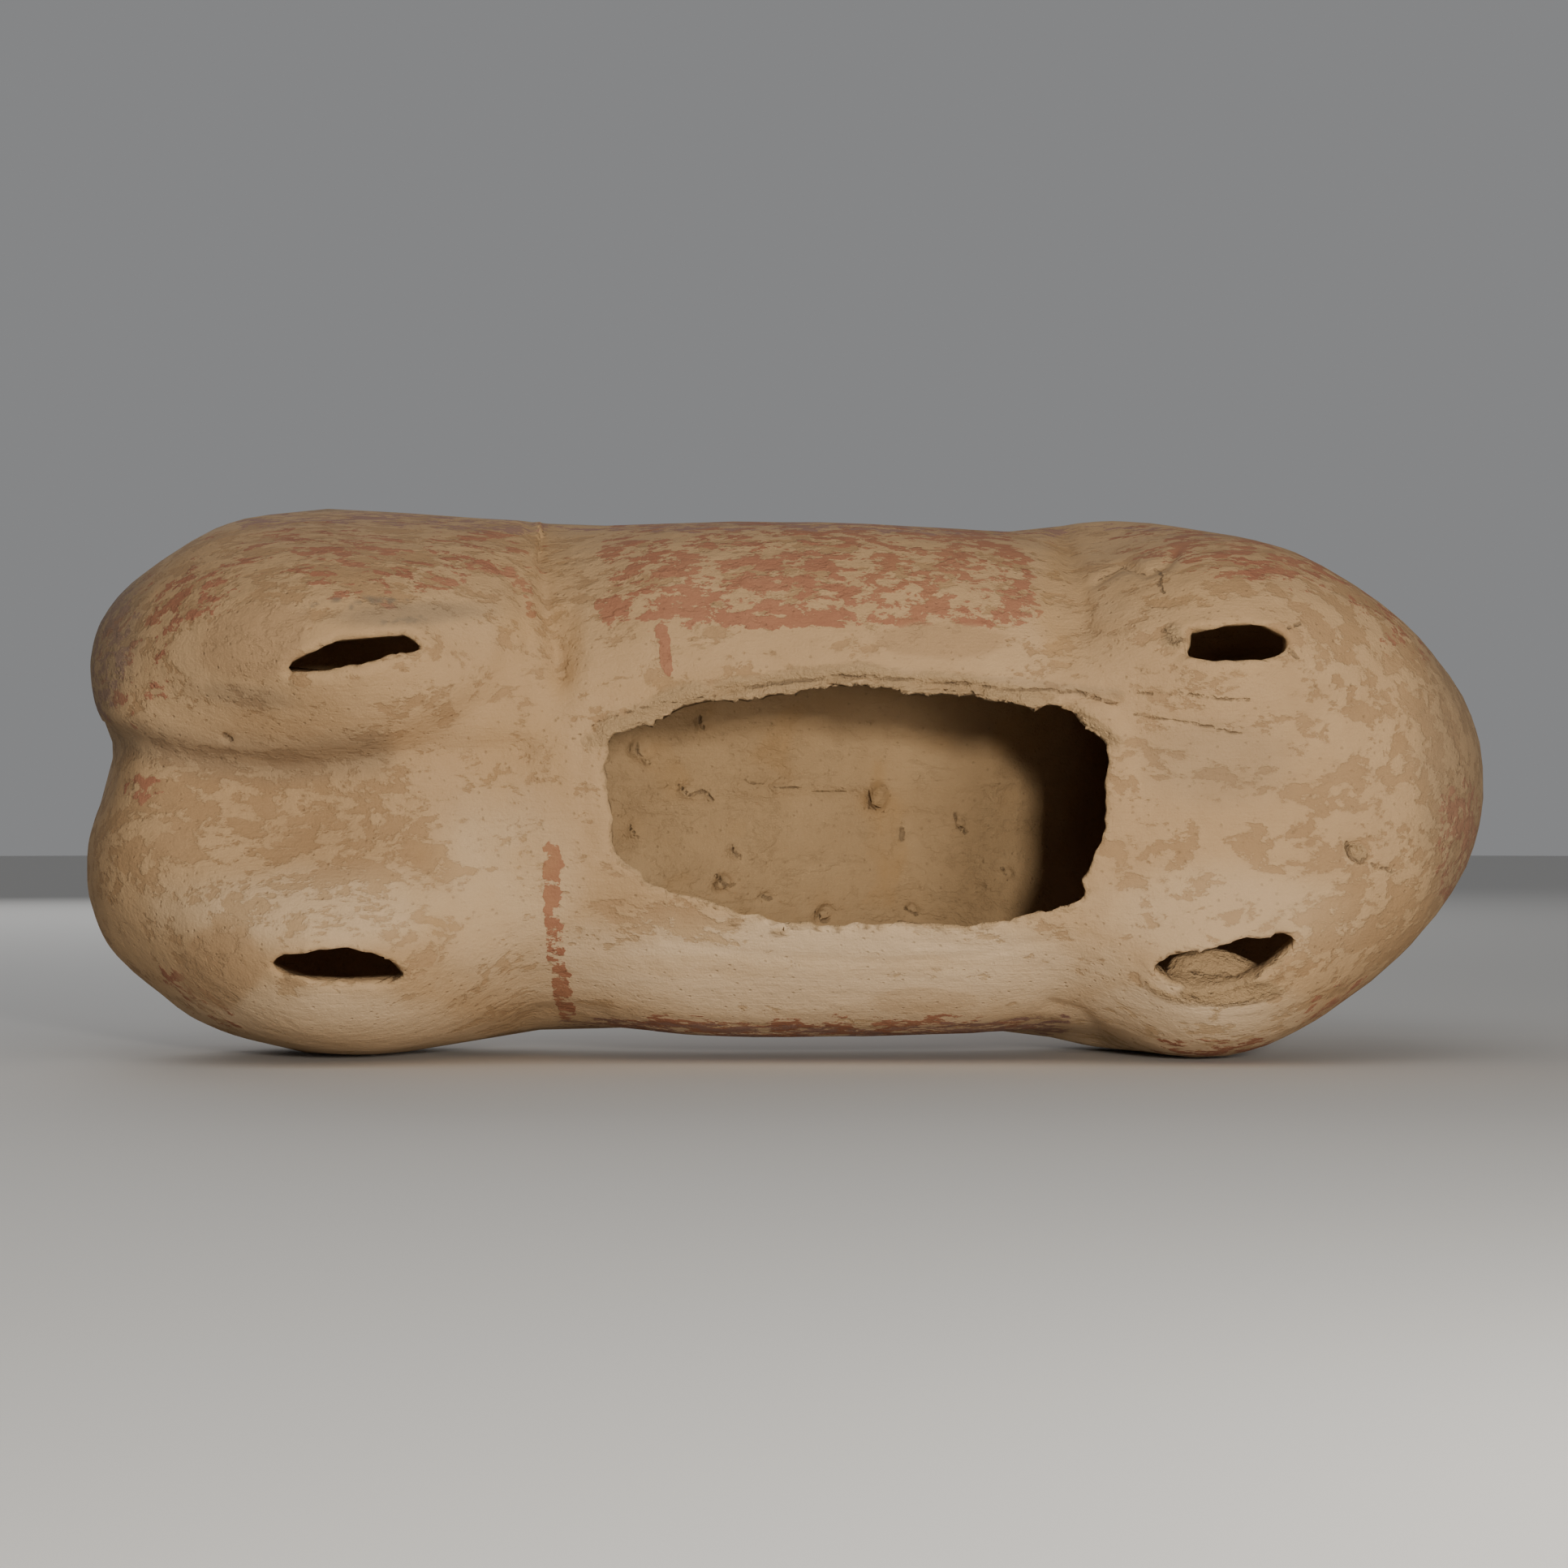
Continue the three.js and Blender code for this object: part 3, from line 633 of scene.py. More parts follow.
SADDLE_ACROSS = (724, 750, 1266, 1290)
SADDLE_RIGHT_EDGE = (786, 768)
SADDLE_LEFT_EDGE = (1238, 1262)
saddle = smooth(SADDLE_ACROSS[0], SADDLE_ACROSS[1], across + wander)
saddle *= smooth(SADDLE_ACROSS[3], SADDLE_ACROSS[2], across + wander)
over_back = smooth(-0.03, 0.0, figure[:, 2])
right_flap = smooth(*SADDLE_RIGHT_EDGE, down + 0.3 * wander)
left_flap = smooth(*SADDLE_LEFT_EDGE, down + 0.3 * wander)
saddle *= outside * np.maximum(over_back, np.maximum(right_flap, left_flap))
fade_up = smooth(650, 715, down)
neck_and_head = smooth(0.08, 0.14, figure[:, 2])

red = deepest(
    saddle * (0.46 + 0.06 * fade_up),
    (0.56, band([(745, 750), (1000, 760), (1272, 752)], 15)),
    (0.54, oval((1000, 715), (110, 36), 0)),
    (0.50, oval((1200, 700), (70, 26), 0)),
    (0.66, band([(812, 772), (819, 800), (822, 824)], 8)),
    (0.60, band([(680, 1048), (682, 1100), (684, 1150), (690, 1200), (699, 1246)], 13)),
    (0.41, oval((470, 690), (230, 62), 3)),
    (0.43, oval((230, 740), (90, 40), -30)),
    (0.37, oval((165, 800), (70, 120), 20)),
    (0.52, band([(560, 688), (616, 698), (648, 718), (654, 756)], 8)),
    (0.48, oval((1545, 685), (190, 40), 8)),
    (0.40, oval((1720, 760), (90, 46), 46)),
    (0.52, oval((1800, 1050), (34, 110), 0)),
    (0.46, oval((1652, 1245), (66, 34), -38)),
    (0.48, oval((1515, 1290), (110, 15), 0)),
    (0.55, oval((176, 972), (36, 20), 20)),
    (0.40, oval((250, 1235), (80, 20), 40)),
    (0.34, oval((1270, 670), (40, 36), 0)),
    (1 - 0.5 * neck_and_head, hidden * (0.30 + 0.10 * noise(figure, 0.12, 32))),
)
# Purple paint, with painted shade at the dark left end of the haunch, where it turns away.
plum_and_shade = deepest(
    0.22 * hidden,
    (0.50, band([(700, 1262), (900, 1276), (1100, 1279), (1310, 1262)], 14)),
    (0.46, band([(300, 640), (420, 632), (640, 642), (966, 642), (1300, 648)], 15)),
    (0.50, oval((130, 800), (36, 120), 14)),
    (0.36, oval((1480, 655), (190, 16), 2)),
)

contours = [(1600, 668), (1680, 726), (1742, 800), (1788, 880), (1812, 950)]
contour_distance = from_line(across, down, contours) + 0.8 * wander
contour_bands = (0.5 + 0.5 * np.sin(contour_distance / 4.6)) * bell(contour_distance - 45, 60) * front
slip = np.full(len(points), 0.60)
for change, patch in (
    (0.22, oval((1000, 1200), (330, 52), 0)),
    (0.18, oval((430, 1262), (150, 30), 8)),
    (-0.12, oval((330, 1020), (210, 95), 0)),
    (-0.10, oval((360, 700), (240, 60), 0)),
    (0.10, oval((960, 800), (250, 30), 0)),
    (0.08, oval((640, 1010), (110, 130), 0)),
    (-0.16, oval((860, 1150), (110, 26), 14)),
    (-0.14, oval((1690, 1130), (90, 60), 30)),
):
    slip += change * patch
slip -= 0.22 * contour_bands

STAIN_LINE = [(1084, 945), (1080, 985), (1086, 1050), (1092, 1090)]
ochre = deepest(
    0.10 + 0.12 * noise(figure, 0.09, 33),
    (0.75, oval((690, 802), (30, 66), 4)),
    (0.50, oval((660, 740), (44, 110), 4)),
    (0.45, oval((640, 960), (60, 170), 0)),
    (0.55, oval((1312, 740), (34, 90), 0)),
    (0.40, oval((1450, 725), (90, 30), 0)),
    (0.45, oval((560, 1110), (90, 60), 30)),
    (0.30, oval((433, 800), (130, 60), 0)),
    (0.30, oval((1512, 790), (110, 50), 0)),
    (0.30, oval((960, 1190), (340, 16), 0)),
    (0.40, oval((930, 850), (220, 22), 0)),
    (0.80, inside * bell(from_line(across, down, STAIN_LINE) + 0.4 * wander, 9)),
    (0.60, inside * smooth(0.15, 0.5, noise(points, 0.024, 36))),
)

specks = 0.95 * smooth(-0.1, 0.2, noise(points, 0.004, 35))
# Soot and dark smears, with painted shade in the same layer: the band under the right thigh's ledge, and the
# dark left end of the haunch where it turns away. The layer also darkens the right edge of the breast, the
# groove above the opening and a hollow between the fore sockets.
soot_and_shade = deepest(
    0.60 * oval((505, 757), (90, 15), -3),
    (specks, band([(346, 766), (380, 750), (416, 738)], 4)),
    (specks, band([(432, 748), (450, 738), (500, 742)], 4)),
    (specks, band([(455, 770), (520, 764)], 4)),
    (0.55, band([(140, 905), (240, 928), (340, 938), (460, 926)], 24, 0.8)),
    (0.35, oval((300, 858), (60, 14), 8)),
    (0.60, oval((124, 800), (44, 130), 14)),
    (0.42, oval((1800, 960), (50, 240), -4)),
    (0.30, oval((1500, 940), (90, 50), 0)),
    (0.35, hidden * smooth(0.1, 0.6, noise(figure, 0.06, 34))),
    (0.30, band([(900, 842), (1040, 829), (1240, 842), (1376, 856)], 7)),
)
# Painted light: paler clay and slip over the lower half, standing in for the light that falls on the lower
# side.
painted_light_below = deepest(
    np.zeros(len(points)),
    (1.00, oval((1000, 1200), (360, 70), 0)),
    (0.80, oval((430, 1265), (200, 44), 8)),
    (0.60, oval((400, 1120), (190, 46), 0)),
    (0.50, oval((620, 1100), (80, 120), 0)),
    (1.00, oval((1440, 1262), (150, 50), 0)),
    (0.90, oval((1000, 1266), (330, 22), 0)),
    (0.40, oval((1500, 1130), (150, 60), 0)),
)
smooth_fill = deepest(
    np.zeros(len(points)),
    (1.00, oval((315, 790), (70, 44), -20, 0.14)),
    (1.00, oval((1158, 790), (82, 22), 0, 0.14)),
    (0.80, oval((272, 1190), (50, 52), 30, 0.14)),
    (0.35, oval((1140, 1233), (66, 16), 0, 0.14)),
)

on_ledge = outside * smooth(0.0085, 0.0055, belly_edge) * smooth(LEDGE_DOWN, LEDGE_DOWN - 20, down)
in_left_socket = smooth(1.15, 0.95, spot(across, down, (1506, 1188), (92, 46), -10))
broken = deepest(
    on_ledge,
    (1, smooth(0.0026, 0.0008, belly_edge)),
    (1, smooth(0.0022, 0.0006, socket_edge)),
    (1, oval((1670, 1049), (15, 10), 28, 0.1)),
    (1, oval((1446, 786), (12, 15), 0, 0.3)),
    (1, oval((1512, 1222), (66, 17), -4, 0.15)),
    (in_left_socket, smooth(-0.2105, -0.2070, points[:, 1])),
)

CRACKS_AND_SHADE_LINES = [
    # cracks, creases and chip edges on the outside, darkened with painted shade: line in photo pixels, half
    # width in pixels
    ([(900, 850), (965, 840), (1040, 834), (1120, 838), (1240, 848), (1330, 853), (1378, 868)], 1.9),
    ([(706, 912), (740, 886), (800, 870), (880, 856)], 1.0),
    ([(1392, 852), (1460, 856), (1538, 864)], 1.4),
    ([(1398, 880), (1450, 888), (1530, 905)], 1.2),
    ([(1660, 1040), (1662, 1053), (1675, 1062), (1683, 1055)], 2.8),
    ([(1690, 1066), (1716, 1074)], 2.0),
    ([(1425, 702), (1433, 711), (1426, 718), (1434, 730)], 1.6),
    ([(1352, 716), (1384, 700), (1412, 708)], 0.6),
    ([(1434, 777), (1441, 790), (1453, 797)], 2.4),
    ([(1437, 782), (1460, 790)], 2.0),
    ([(1588, 776), (1602, 768)], 1.8),
    ([(1588, 802), (1600, 812)], 1.8),
    ([(1440, 1210), (1462, 1228), (1506, 1240), (1560, 1226)], 0.6),
    ([(1470, 1196), (1494, 1204), (1512, 1200)], 2.2),
    ([(1528, 1208), (1548, 1202), (1562, 1196)], 2.4),
    ([(275, 905), (284, 911)], 2.6),
]
CRUMB_SHADOW_LINES = [
    # painted shadows beside the crumbs on the inside of the back: line in photo pixels, half width in pixels
    ([(783, 914), (785, 930), (801, 940)], 1.4),
    ([(916, 962), (970, 971), (1010, 976), (1060, 974)], 0.8),
    ([(836, 968), (850, 982), (866, 974), (880, 988)], 2.0),
    ([(1070, 976), (1072, 994), (1088, 1000)], 1.8),
    ([(1110, 1022), (1112, 1036)], 2.4),
    ([(1176, 1004), (1180, 1018), (1190, 1024)], 2.2),
    ([(900, 1044), (912, 1056)], 2.2),
    ([(884, 1078), (892, 1094), (906, 1090)], 1.8),
    ([(1006, 1124), (1014, 1136), (1026, 1128)], 1.8),
    ([(1116, 1118), (1130, 1126)], 2.2),
    ([(776, 1018), (784, 1032)], 2.0),
    ([(862, 884), (866, 898)], 2.4),
    ([(1234, 1070), (1240, 1082)], 2.0),
    ([(938, 1104), (950, 1108)], 2.0),
]


def dark_line_distance(lines):
    """How far each point is from the edge of the nearest dark line, crack and painted shade alike, in pixels.
    """
    nearest = np.full(len(across), FAR)
    for line, half_width in lines:
        distance = np.abs(from_line(across, down, line) + crack_wander)
        nearest = np.minimum(nearest, distance - half_width)
    return nearest


CRACK_REACH = 20
crack_wander = 1.8 * noise(points, 0.011, 37) + 1.6 * noise(points, 0.005, 38)
on_the_back = (inside > 0.5) & (normals[:, 1] < -0.3)
crack_and_shade_line = np.where(front > 0.5, dark_line_distance(CRACKS_AND_SHADE_LINES), CRACK_REACH)
crack_and_shade_line = np.where(on_the_back, dark_line_distance(CRUMB_SHADOW_LINES), crack_and_shade_line)

shares = {
    "slip": slip,
    "painted_light_below": painted_light_below,
    "red": red,
    "plum_and_shade": plum_and_shade,
    "ochre": ochre,
    "soot_and_shade": soot_and_shade,
    "smooth_fill": smooth_fill,
    "inside": inside * (1 - broken),
    "broken": broken,
    "crack_and_shade_line": 0.5 + crack_and_shade_line / CRACK_REACH,
}
for name, values in shares.items():
    layer = mesh.attributes.new(name, "FLOAT", "POINT")
    layer.data.foreach_set("value", np.clip(values, 0, 1).astype(np.float32))
print("layers:", ", ".join(f"{name} {values.mean():.2f}" for name, values in shares.items()))

# %% [markdown]
# ## Node groups for flaked paint
#
# A layer of paint flakes off where it holds badly, so its edge is crisp, however softly its cover fades.
# The group compares the share of cover with a noise and gives a hard mask. The noise is long in the
# direction of the brush, from rump to breast, and each layer has its own seed. The second group is plain
# soft mottling, and the third is the small relief: grain, brush hairs and pores.

# %% Node groups for flaked paint


def new_group(name, inputs, outputs):
    """A shader node group with plain number and vector sockets."""
    group = bpy.data.node_groups.new(name, "ShaderNodeTree")
    for socket_name, kind in inputs:
        group.interface.new_socket(socket_name, in_out="INPUT", socket_type=kind)
    for socket_name, kind in outputs:
        group.interface.new_socket(socket_name, in_out="OUTPUT", socket_type=kind)
    start = group.nodes.new("NodeGroupInput")
    end = group.nodes.new("NodeGroupOutput")
    start.location, end.location = (-900, 0), (900, 0)
    return group, start, end


def add_node(tree, kind, place, settings=None, values=None):
    """A node with its settings and the values of its own sockets."""
    node = tree.nodes.new(kind)
    node.location = place
    for name, value in (settings or {}).items():
        setattr(node, name, value)
    for name, value in (values or {}).items():
        node.inputs[name].default_value = value
    return node


def noise_node(tree, place, scale, detail, roughness, distortion=0.0):
    """A four-dimensional noise, whose fourth number is the seed."""
    values = {"Scale": scale, "Detail": detail, "Roughness": roughness, "Distortion": distortion}
    return add_node(tree, "ShaderNodeTexNoise", place, {"noise_dimensions": "4D"}, values)


def maths(tree, place, operation, *inputs, clamp=False):
    """A maths node; its two or three inputs are numbers or sockets."""
    node = add_node(tree, "ShaderNodeMath", place, {"operation": operation, "use_clamp": clamp})
    for socket, value in zip(node.inputs, inputs):
        if isinstance(value, (int, float)):
            socket.default_value = value
        else:
            tree.links.new(value, socket)
    return node.outputs[0]


FLOAT, VECTOR = "NodeSocketFloat", "NodeSocketVector"
BRUSH_STRETCH = (0.58, 1.0, 1.0)
HAIR_STRETCH = (0.07, 1.0, 1.0)
FINE_SHARE = 0.22
LIMIT_WHEN_BARE, LIMIT_DROP = 0.86, 0.50
CRISP, LESS_CRISP = 55.0, 18.0
HAIRS, GRAIN, LUMPS, PORES = 0.30, 0.35, 0.9, -0.35

flakes, start, end = new_group(
    "crisp_flakes",
    [("Vector", VECTOR), ("Cover", FLOAT), ("Seed", FLOAT), ("Size", FLOAT)],
    [("Mask", FLOAT), ("Edge", FLOAT)],
)
along_brush = add_node(flakes, "ShaderNodeMapping", (-700, 200), values={"Scale": BRUSH_STRETCH})
large = noise_node(flakes, (-450, 250), 60.0, 6.0, 0.70, 0.25)
fine = noise_node(flakes, (-450, -80), 300.0, 2.0, 0.6)
flakes.links.new(start.outputs["Vector"], along_brush.inputs["Vector"])
for texture in (large, fine):
    flakes.links.new(along_brush.outputs["Vector"], texture.inputs["Vector"])
    flakes.links.new(start.outputs["Seed"], texture.inputs["W"])
flakes.links.new(start.outputs["Size"], large.inputs["Scale"])
mixed = maths(flakes, (-200, 200), "MULTIPLY_ADD", fine.outputs["Fac"], FINE_SHARE, large.outputs["Fac"])
limit = maths(flakes, (-200, -60), "MULTIPLY_ADD", start.outputs["Cover"], -LIMIT_DROP, LIMIT_WHEN_BARE)
above = maths(flakes, (50, 100), "SUBTRACT", mixed, limit)
sharp = maths(flakes, (250, 100), "MULTIPLY", above, CRISP)
mask = maths(flakes, (450, 100), "ADD", sharp, 0.5, clamp=True)
bent = maths(flakes, (450, -120), "MULTIPLY", above, LESS_CRISP)
edge_height = maths(flakes, (650, -120), "ADD", bent, 0.5, clamp=True)
flakes.links.new(mask, end.inputs["Mask"])
flakes.links.new(edge_height, end.inputs["Edge"])

mottle, start, end = new_group("mottling", [("Vector", VECTOR), ("Seed", FLOAT)], [("Value", FLOAT)])
soft_noise = noise_node(mottle, (-450, 0), 30.0, 4.0, 0.62, 0.2)
spread = add_node(mottle, "ShaderNodeMapRange", (-150, 0), values={"From Min": 0.30, "From Max": 0.70})
mottle.links.new(start.outputs["Vector"], soft_noise.inputs["Vector"])
mottle.links.new(start.outputs["Seed"], soft_noise.inputs["W"])
mottle.links.new(soft_noise.outputs["Fac"], spread.inputs["Value"])
mottle.links.new(spread.outputs["Result"], end.inputs["Value"])

relief, start, end = new_group("clay_relief", [("Vector", VECTOR)], [("Height", FLOAT), ("Pores", FLOAT)])
hair_stretch = add_node(relief, "ShaderNodeMapping", (-700, 250), values={"Scale": HAIR_STRETCH})
hairs = noise_node(relief, (-450, 300), 620.0, 2.0, 0.6)
grain = noise_node(relief, (-450, 0), 900.0, 2.0, 0.7)
lumps = noise_node(relief, (-450, -250), 150.0, 3.0, 0.6)
pore_cells = add_node(relief, "ShaderNodeTexVoronoi", (-450, -500), {"feature": "F1"}, {"Scale": 210.0})
pore_range = {"From Min": 0.05, "From Max": 0.17, "To Min": 1.0, "To Max": 0.0}
pore_size = add_node(relief, "ShaderNodeMapRange", (-200, -500), values=pore_range)
relief.links.new(start.outputs["Vector"], hair_stretch.inputs["Vector"])
relief.links.new(hair_stretch.outputs["Vector"], hairs.inputs["Vector"])
for texture in (grain, lumps, pore_cells):
    relief.links.new(start.outputs["Vector"], texture.inputs["Vector"])
relief.links.new(pore_cells.outputs["Distance"], pore_size.inputs["Value"])
with_hairs = maths(relief, (-150, 250), "MULTIPLY", hairs.outputs["Fac"], HAIRS)
with_grain = maths(relief, (0, 100), "MULTIPLY_ADD", grain.outputs["Fac"], GRAIN, with_hairs)
with_lumps = maths(relief, (200, 0), "MULTIPLY_ADD", lumps.outputs["Fac"], LUMPS, with_grain)
with_pores = maths(relief, (400, -100), "MULTIPLY_ADD", pore_size.outputs["Result"], PORES, with_lumps)
relief.links.new(with_pores, end.inputs["Height"])
relief.links.new(pore_size.outputs["Result"], end.inputs["Pores"])
print("groups:", flakes.name, mottle.name, relief.name)

# %% [markdown]
# ## The painted clay
#
# The layers go on in the order in which they came to the horse: clay, slip, paint, stains, dirt and modern
# smooth fills. Painted light and shade go in among them: lit copies of clay and slip on the lower half,
# painted shade in the soot and plum layers, and dark lines of painted shade in cracks and beside the
# crumbs inside. Inside, where no paint went, the clay keeps its own colour. All colours are linear.

# %% The painted clay
COLOURS = {
    "clay_light": (0.390, 0.243, 0.123),
    "clay_dark": (0.340, 0.205, 0.100),
    "slip_light": (0.490, 0.320, 0.170),
    "slip_dark": (0.420, 0.265, 0.133),
    # Lit copies of clay and slip, painted as light on the lower half.
    "clay_painted_lit": (0.505, 0.345, 0.195),
    "slip_painted_lit": (0.620, 0.450, 0.280),
    "red_light": (0.365, 0.170, 0.094),
    "red_dark": (0.300, 0.120, 0.067),
    # Purple paint, also used as painted shade at the left end of the haunch.
    "plum_and_shade": (0.300, 0.168, 0.122),
    "ochre": (0.400, 0.232, 0.092),
    # Soot and dirt, also used as painted shade under the thigh ledge and at the left end of the haunch.
    "soot_and_shade": (0.200, 0.150, 0.098),
    "fill": (0.392, 0.245, 0.125),
    "inside_light": (0.485, 0.320, 0.166),
    "inside_dark": (0.400, 0.258, 0.130),
    "broken": (0.400, 0.262, 0.135),
    # Dark specks, and the dark of the painted shade in cracks and beside crumbs.
    "dark_speck_and_shade": (0.120, 0.078, 0.045),
}
ROUGHNESS = 0.88
SPECULAR = 0.25
SEEDS = {"slip": 1.7, "red": 4.1, "plum_and_shade": 7.9, "clay": 2.3, "stain": 5.6}
FLAKE_SCALES = {"slip": 88.0, "red": 120.0, "plum_and_shade": 140.0}
CRUMBLE = {"Scale": 380.0, "Detail": 3.0, "Roughness": 0.7}
SOOT_AND_SHADE_DARKNESS, SPECK_DARKNESS, SHADE_LINE_DARKNESS = 0.85, 0.18, 0.50
CRACK_CRUMBLE = 0.30
SLIP_RELIEF, PAINT_RELIEF, CRUMB_RELIEF, CRACK_RELIEF = 0.30, 0.16, 2.6, -1.4
INSIDE_CRUMBLE = 0.22
BUMP = {"Strength": 0.75, "Distance": 0.0014}

clay = bpy.data.materials.new("worn_slip_on_clay")
clay.use_nodes = True
tree = clay.node_tree
shader = tree.nodes["Principled BSDF"]
shader.location = (1500, 0)
tree.nodes["Material Output"].location = (1800, 0)
shader.inputs["Roughness"].default_value = ROUGHNESS
shader.inputs["Specular IOR Level"].default_value = SPECULAR
place = add_node(tree, "ShaderNodeTexCoord", (-1700, 0)).outputs["Object"]


def layer_share(name, row):
    """The share of cover of a layer, read from the mesh."""
    return add_node(tree, "ShaderNodeAttribute", (-1700, row), {"attribute_name": name}).outputs["Fac"]


def use_group(group, spot_on_page, seed=None, cover=None, size=None):
    """A node group with its seed, cover and size."""
    node = add_node(tree, "ShaderNodeGroup", spot_on_page, {"node_tree": group})
    tree.links.new(place, node.inputs["Vector"])
    if seed is not None:
        node.inputs["Seed"].default_value = seed
    if size is not None:
        node.inputs["Size"].default_value = size
    if cover is not None:
        tree.links.new(cover, node.inputs["Cover"])
    return node


def over(spot_on_page, mask, under, upper):
    """One colour laid over another through a mask; colours are names or sockets."""
    node = add_node(tree, "ShaderNodeMix", spot_on_page, {"data_type": "RGBA"})
    tree.links.new(mask, node.inputs[0])
    for socket, colour in ((node.inputs[6], under), (node.inputs[7], upper)):
        if isinstance(colour, str):
            socket.default_value = (*COLOURS[colour], 1.0)
        else:
            tree.links.new(colour, socket)
    return node.outputs[2]


slip_share = layer_share("slip", 500)
inside_share = layer_share("inside", -700)
broken_share = layer_share("broken", -900)
slip_flakes = use_group(flakes, (-1200, 500), SEEDS["slip"], slip_share, FLAKE_SCALES["slip"])
red_flakes = use_group(flakes, (-1200, 300), SEEDS["red"], layer_share("red", 300), FLAKE_SCALES["red"])
plum_and_shade_flakes = use_group(flakes, (-1200, 100), SEEDS["plum_and_shade"], layer_share("plum_and_shade", 100), FLAKE_SCALES["plum_and_shade"])
clay_mottle = use_group(mottle, (-1200, 800), SEEDS["clay"]).outputs["Value"]
stain_mottle = use_group(mottle, (-1200, -100), SEEDS["stain"]).outputs["Value"]
small_relief = use_group(relief, (-1200, -1100))

bare = over((-900, 800), clay_mottle, "clay_dark", "clay_light")
slipped = over((-900, 500), stain_mottle, "slip_dark", "slip_light")
# Painted light: the lower half takes the paler, lit copies of clay and slip.
painted_light_share = layer_share("painted_light_below", 700)
bare = over((-780, 850), painted_light_share, bare, "clay_painted_lit")
slipped = over((-780, 650), painted_light_share, slipped, "slip_painted_lit")
surface = over((-650, 600), slip_flakes.outputs["Mask"], bare, slipped)
reds = over((-900, 250), clay_mottle, "red_dark", "red_light")
surface = over((-450, 500), red_flakes.outputs["Mask"], surface, reds)
# Purple paint, with painted shade at the left end of the haunch.
surface = over((-250, 450), plum_and_shade_flakes.outputs["Mask"], surface, "plum_and_shade")
inner = over((-650, -500), clay_mottle, "inside_dark", "inside_light")
surface = over((-150, 420), inside_share, surface, inner)
ochre_share = maths(tree, (-650, -50), "MULTIPLY", layer_share("ochre", -100), stain_mottle)
surface = over((-50, 400), ochre_share, surface, "ochre")
# Soot, dirt and painted shade darken the colour here.
soot_and_shade_share = maths(tree, (-650, -250), "MULTIPLY", layer_share("soot_and_shade", -300), SOOT_AND_SHADE_DARKNESS)
surface = over((150, 350), soot_and_shade_share, surface, "soot_and_shade")
surface = over((350, 300), layer_share("smooth_fill", -500), surface, "fill")
speck_share = maths(tree, (-400, -800), "MULTIPLY", small_relief.outputs["Pores"], SPECK_DARKNESS)
surface = over((750, 200), broken_share, surface, "broken")
surface = over((950, 150), speck_share, surface, "dark_speck_and_shade")
crumbly = add_node(tree, "ShaderNodeTexNoise", (-200, -1300), values=CRUMBLE)
tree.links.new(place, crumbly.inputs["Vector"])
crack_level = layer_share("crack_and_shade_line", -1300)
crack_edge = maths(tree, (0, -1300), "MULTIPLY_ADD", crumbly.outputs["Fac"], CRACK_CRUMBLE, crack_level)
crack_range = {"From Min": 0.60, "From Max": 0.70, "To Min": 1.0, "To Max": 0.0}
crack_depth = add_node(tree, "ShaderNodeMapRange", (200, -1300), values=crack_range)
tree.links.new(crack_edge, crack_depth.inputs["Value"])
# Painted shade: the cracks, creases and chip edges outside and the edges of the crumbs inside are darkened.
crack_and_shade_share = maths(tree, (400, -1300), "MULTIPLY", crack_depth.outputs["Result"], SHADE_LINE_DARKNESS)
surface = over((1150, 100), crack_and_shade_share, surface, "dark_speck_and_shade")
tree.links.new(surface, shader.inputs["Base Color"])

plain_height = small_relief.outputs["Height"]
with_slip = maths(tree, (300, -700), "MULTIPLY_ADD", slip_flakes.outputs["Edge"], SLIP_RELIEF, plain_height)
with_paint = maths(tree, (500, -700), "MULTIPLY_ADD", red_flakes.outputs["Edge"], PAINT_RELIEF, with_slip)
rough_share = maths(tree, (400, -1200), "MULTIPLY_ADD", inside_share, INSIDE_CRUMBLE, broken_share)
crumbly_share = maths(tree, (500, -1000), "MULTIPLY", crumbly.outputs["Fac"], rough_share)
with_crumbs = maths(tree, (700, -800), "MULTIPLY_ADD", crumbly_share, CRUMB_RELIEF, with_paint)
height = maths(tree, (900, -900), "MULTIPLY_ADD", crack_depth.outputs["Result"], CRACK_RELIEF, with_crumbs)
bump = add_node(tree, "ShaderNodeBump", (1200, -500), values=BUMP)
tree.links.new(height, bump.inputs["Height"])
tree.links.new(bump.outputs["Normal"], shader.inputs["Normal"])

mesh.materials.clear()
mesh.materials.append(clay)
print("material nodes:", len(tree.nodes))

# %% [markdown]
# ## Put it in the frame
#
# The horse stands in for the plain shell, fills its material slot and rides on the only body there is.

# %% Put it in the frame
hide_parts("pottery_horse")
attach(horse, "root")
print("in the frame:", horse.name)

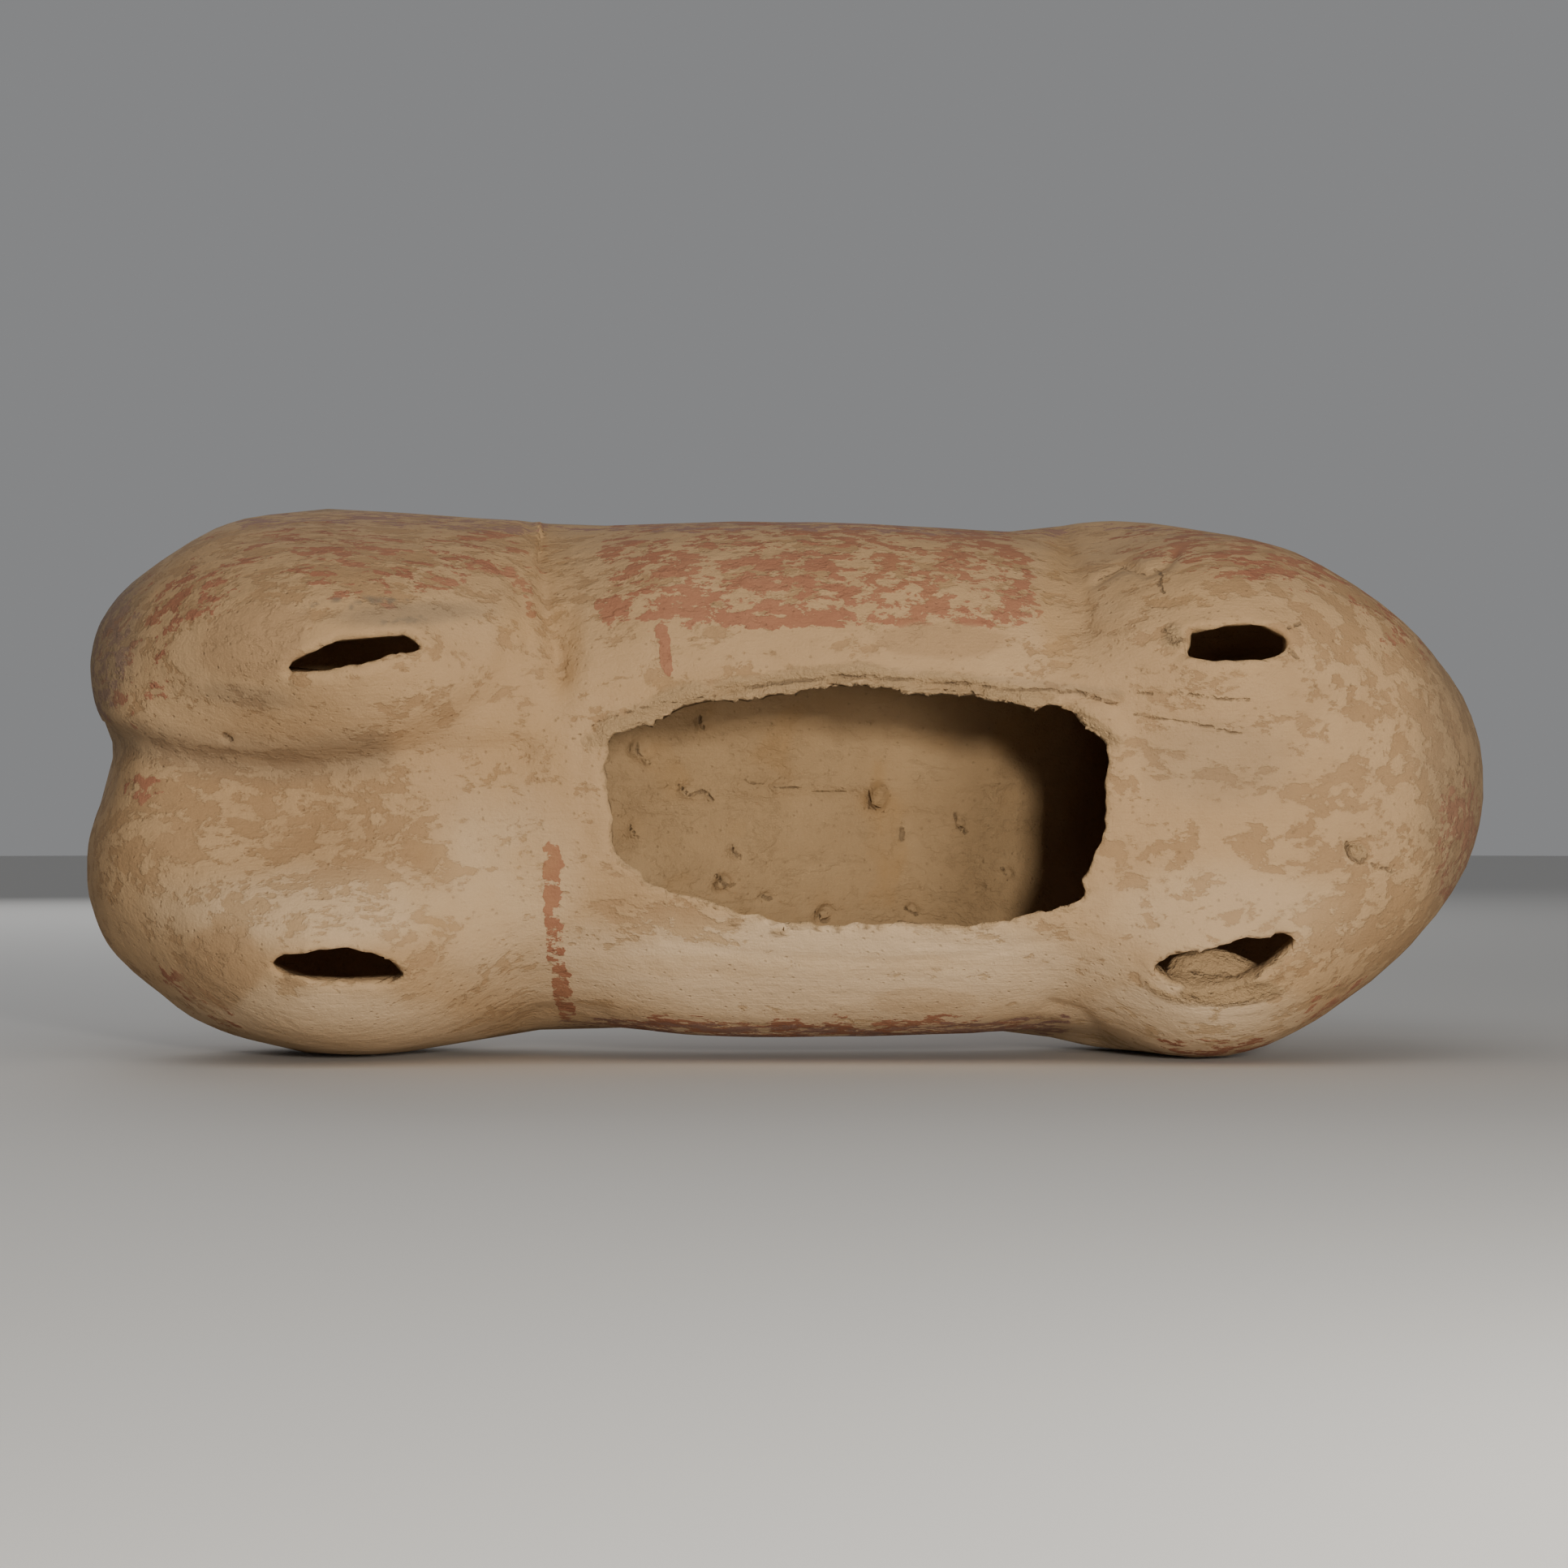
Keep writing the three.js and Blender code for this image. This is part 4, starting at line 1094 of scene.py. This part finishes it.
# %% [markdown]
# ## Floor and light
#
# The photograph is lit by one lamp close to the camera, a little to its right and above, so the surface
# darkens where it turns away, and the torn opening throws a shadow to the right inside the body. Weak lamps
# low down, above and behind soften that. The floor is plain and pale.

# %% Floor and light
FLOOR_RADIUS = 6.0
FLOOR_COLOUR = (0.60, 0.59, 0.57, 1)
WORLD_COLOUR = (0.92, 0.93, 0.95, 1)
WORLD_STRENGTH = 0.26

floor_mesh = bpy.data.meshes.new("floor")
edit = bmesh.new()
bmesh.ops.create_circle(edit, cap_ends=True, cap_tris=False, segments=96, radius=FLOOR_RADIUS)
edit.to_mesh(floor_mesh)
edit.free()
floor = bpy.data.objects.new("floor", floor_mesh)
bpy.context.scene.collection.objects.link(floor)
floor_material = bpy.data.materials.new("pale_floor")
floor_material.use_nodes = True
floor_shader = floor_material.node_tree.nodes["Principled BSDF"]
floor_shader.inputs["Base Color"].default_value = FLOOR_COLOUR
floor_shader.inputs["Roughness"].default_value = 0.75
floor_mesh.materials.append(floor_material)

world = bpy.data.worlds.new("studio")
world.use_nodes = True
world.node_tree.nodes["Background"].inputs["Color"].default_value = WORLD_COLOUR
world.node_tree.nodes["Background"].inputs["Strength"].default_value = WORLD_STRENGTH
bpy.context.scene.world = world


def lamp(name, place, aim, size, power, colour=(1, 1, 1)):
    """A square soft lamp that shines from a place at a point."""
    data = bpy.data.lights.new(name, "AREA")
    data.size = size
    data.energy = power
    data.color = colour
    light = bpy.data.objects.new(name, data)
    light.location = place
    light.rotation_euler = (Vector(aim) - Vector(place)).to_track_quat("-Z", "Y").to_euler()
    bpy.context.scene.collection.objects.link(light)


AIM = (0.0, -0.12, 0.12)
lamp("key", (0.34, -2.35, 0.32), AIM, 0.14, 27, (1.0, 0.95, 0.87))
lamp("low fill", (0.55, -1.55, 0.13), (0.0, -0.2, 0.04), 0.24, 7.0, (1.0, 0.96, 0.90))
lamp("top", (0.0, -0.80, 1.00), (0.0, -0.35, 0.0), 0.9, 1.9, (1.0, 0.96, 0.90))
lamp("back", (-0.8, 2.4, 1.2), AIM, 1.6, 14)
print("lamps:", ", ".join(light.name for light in bpy.data.lights))
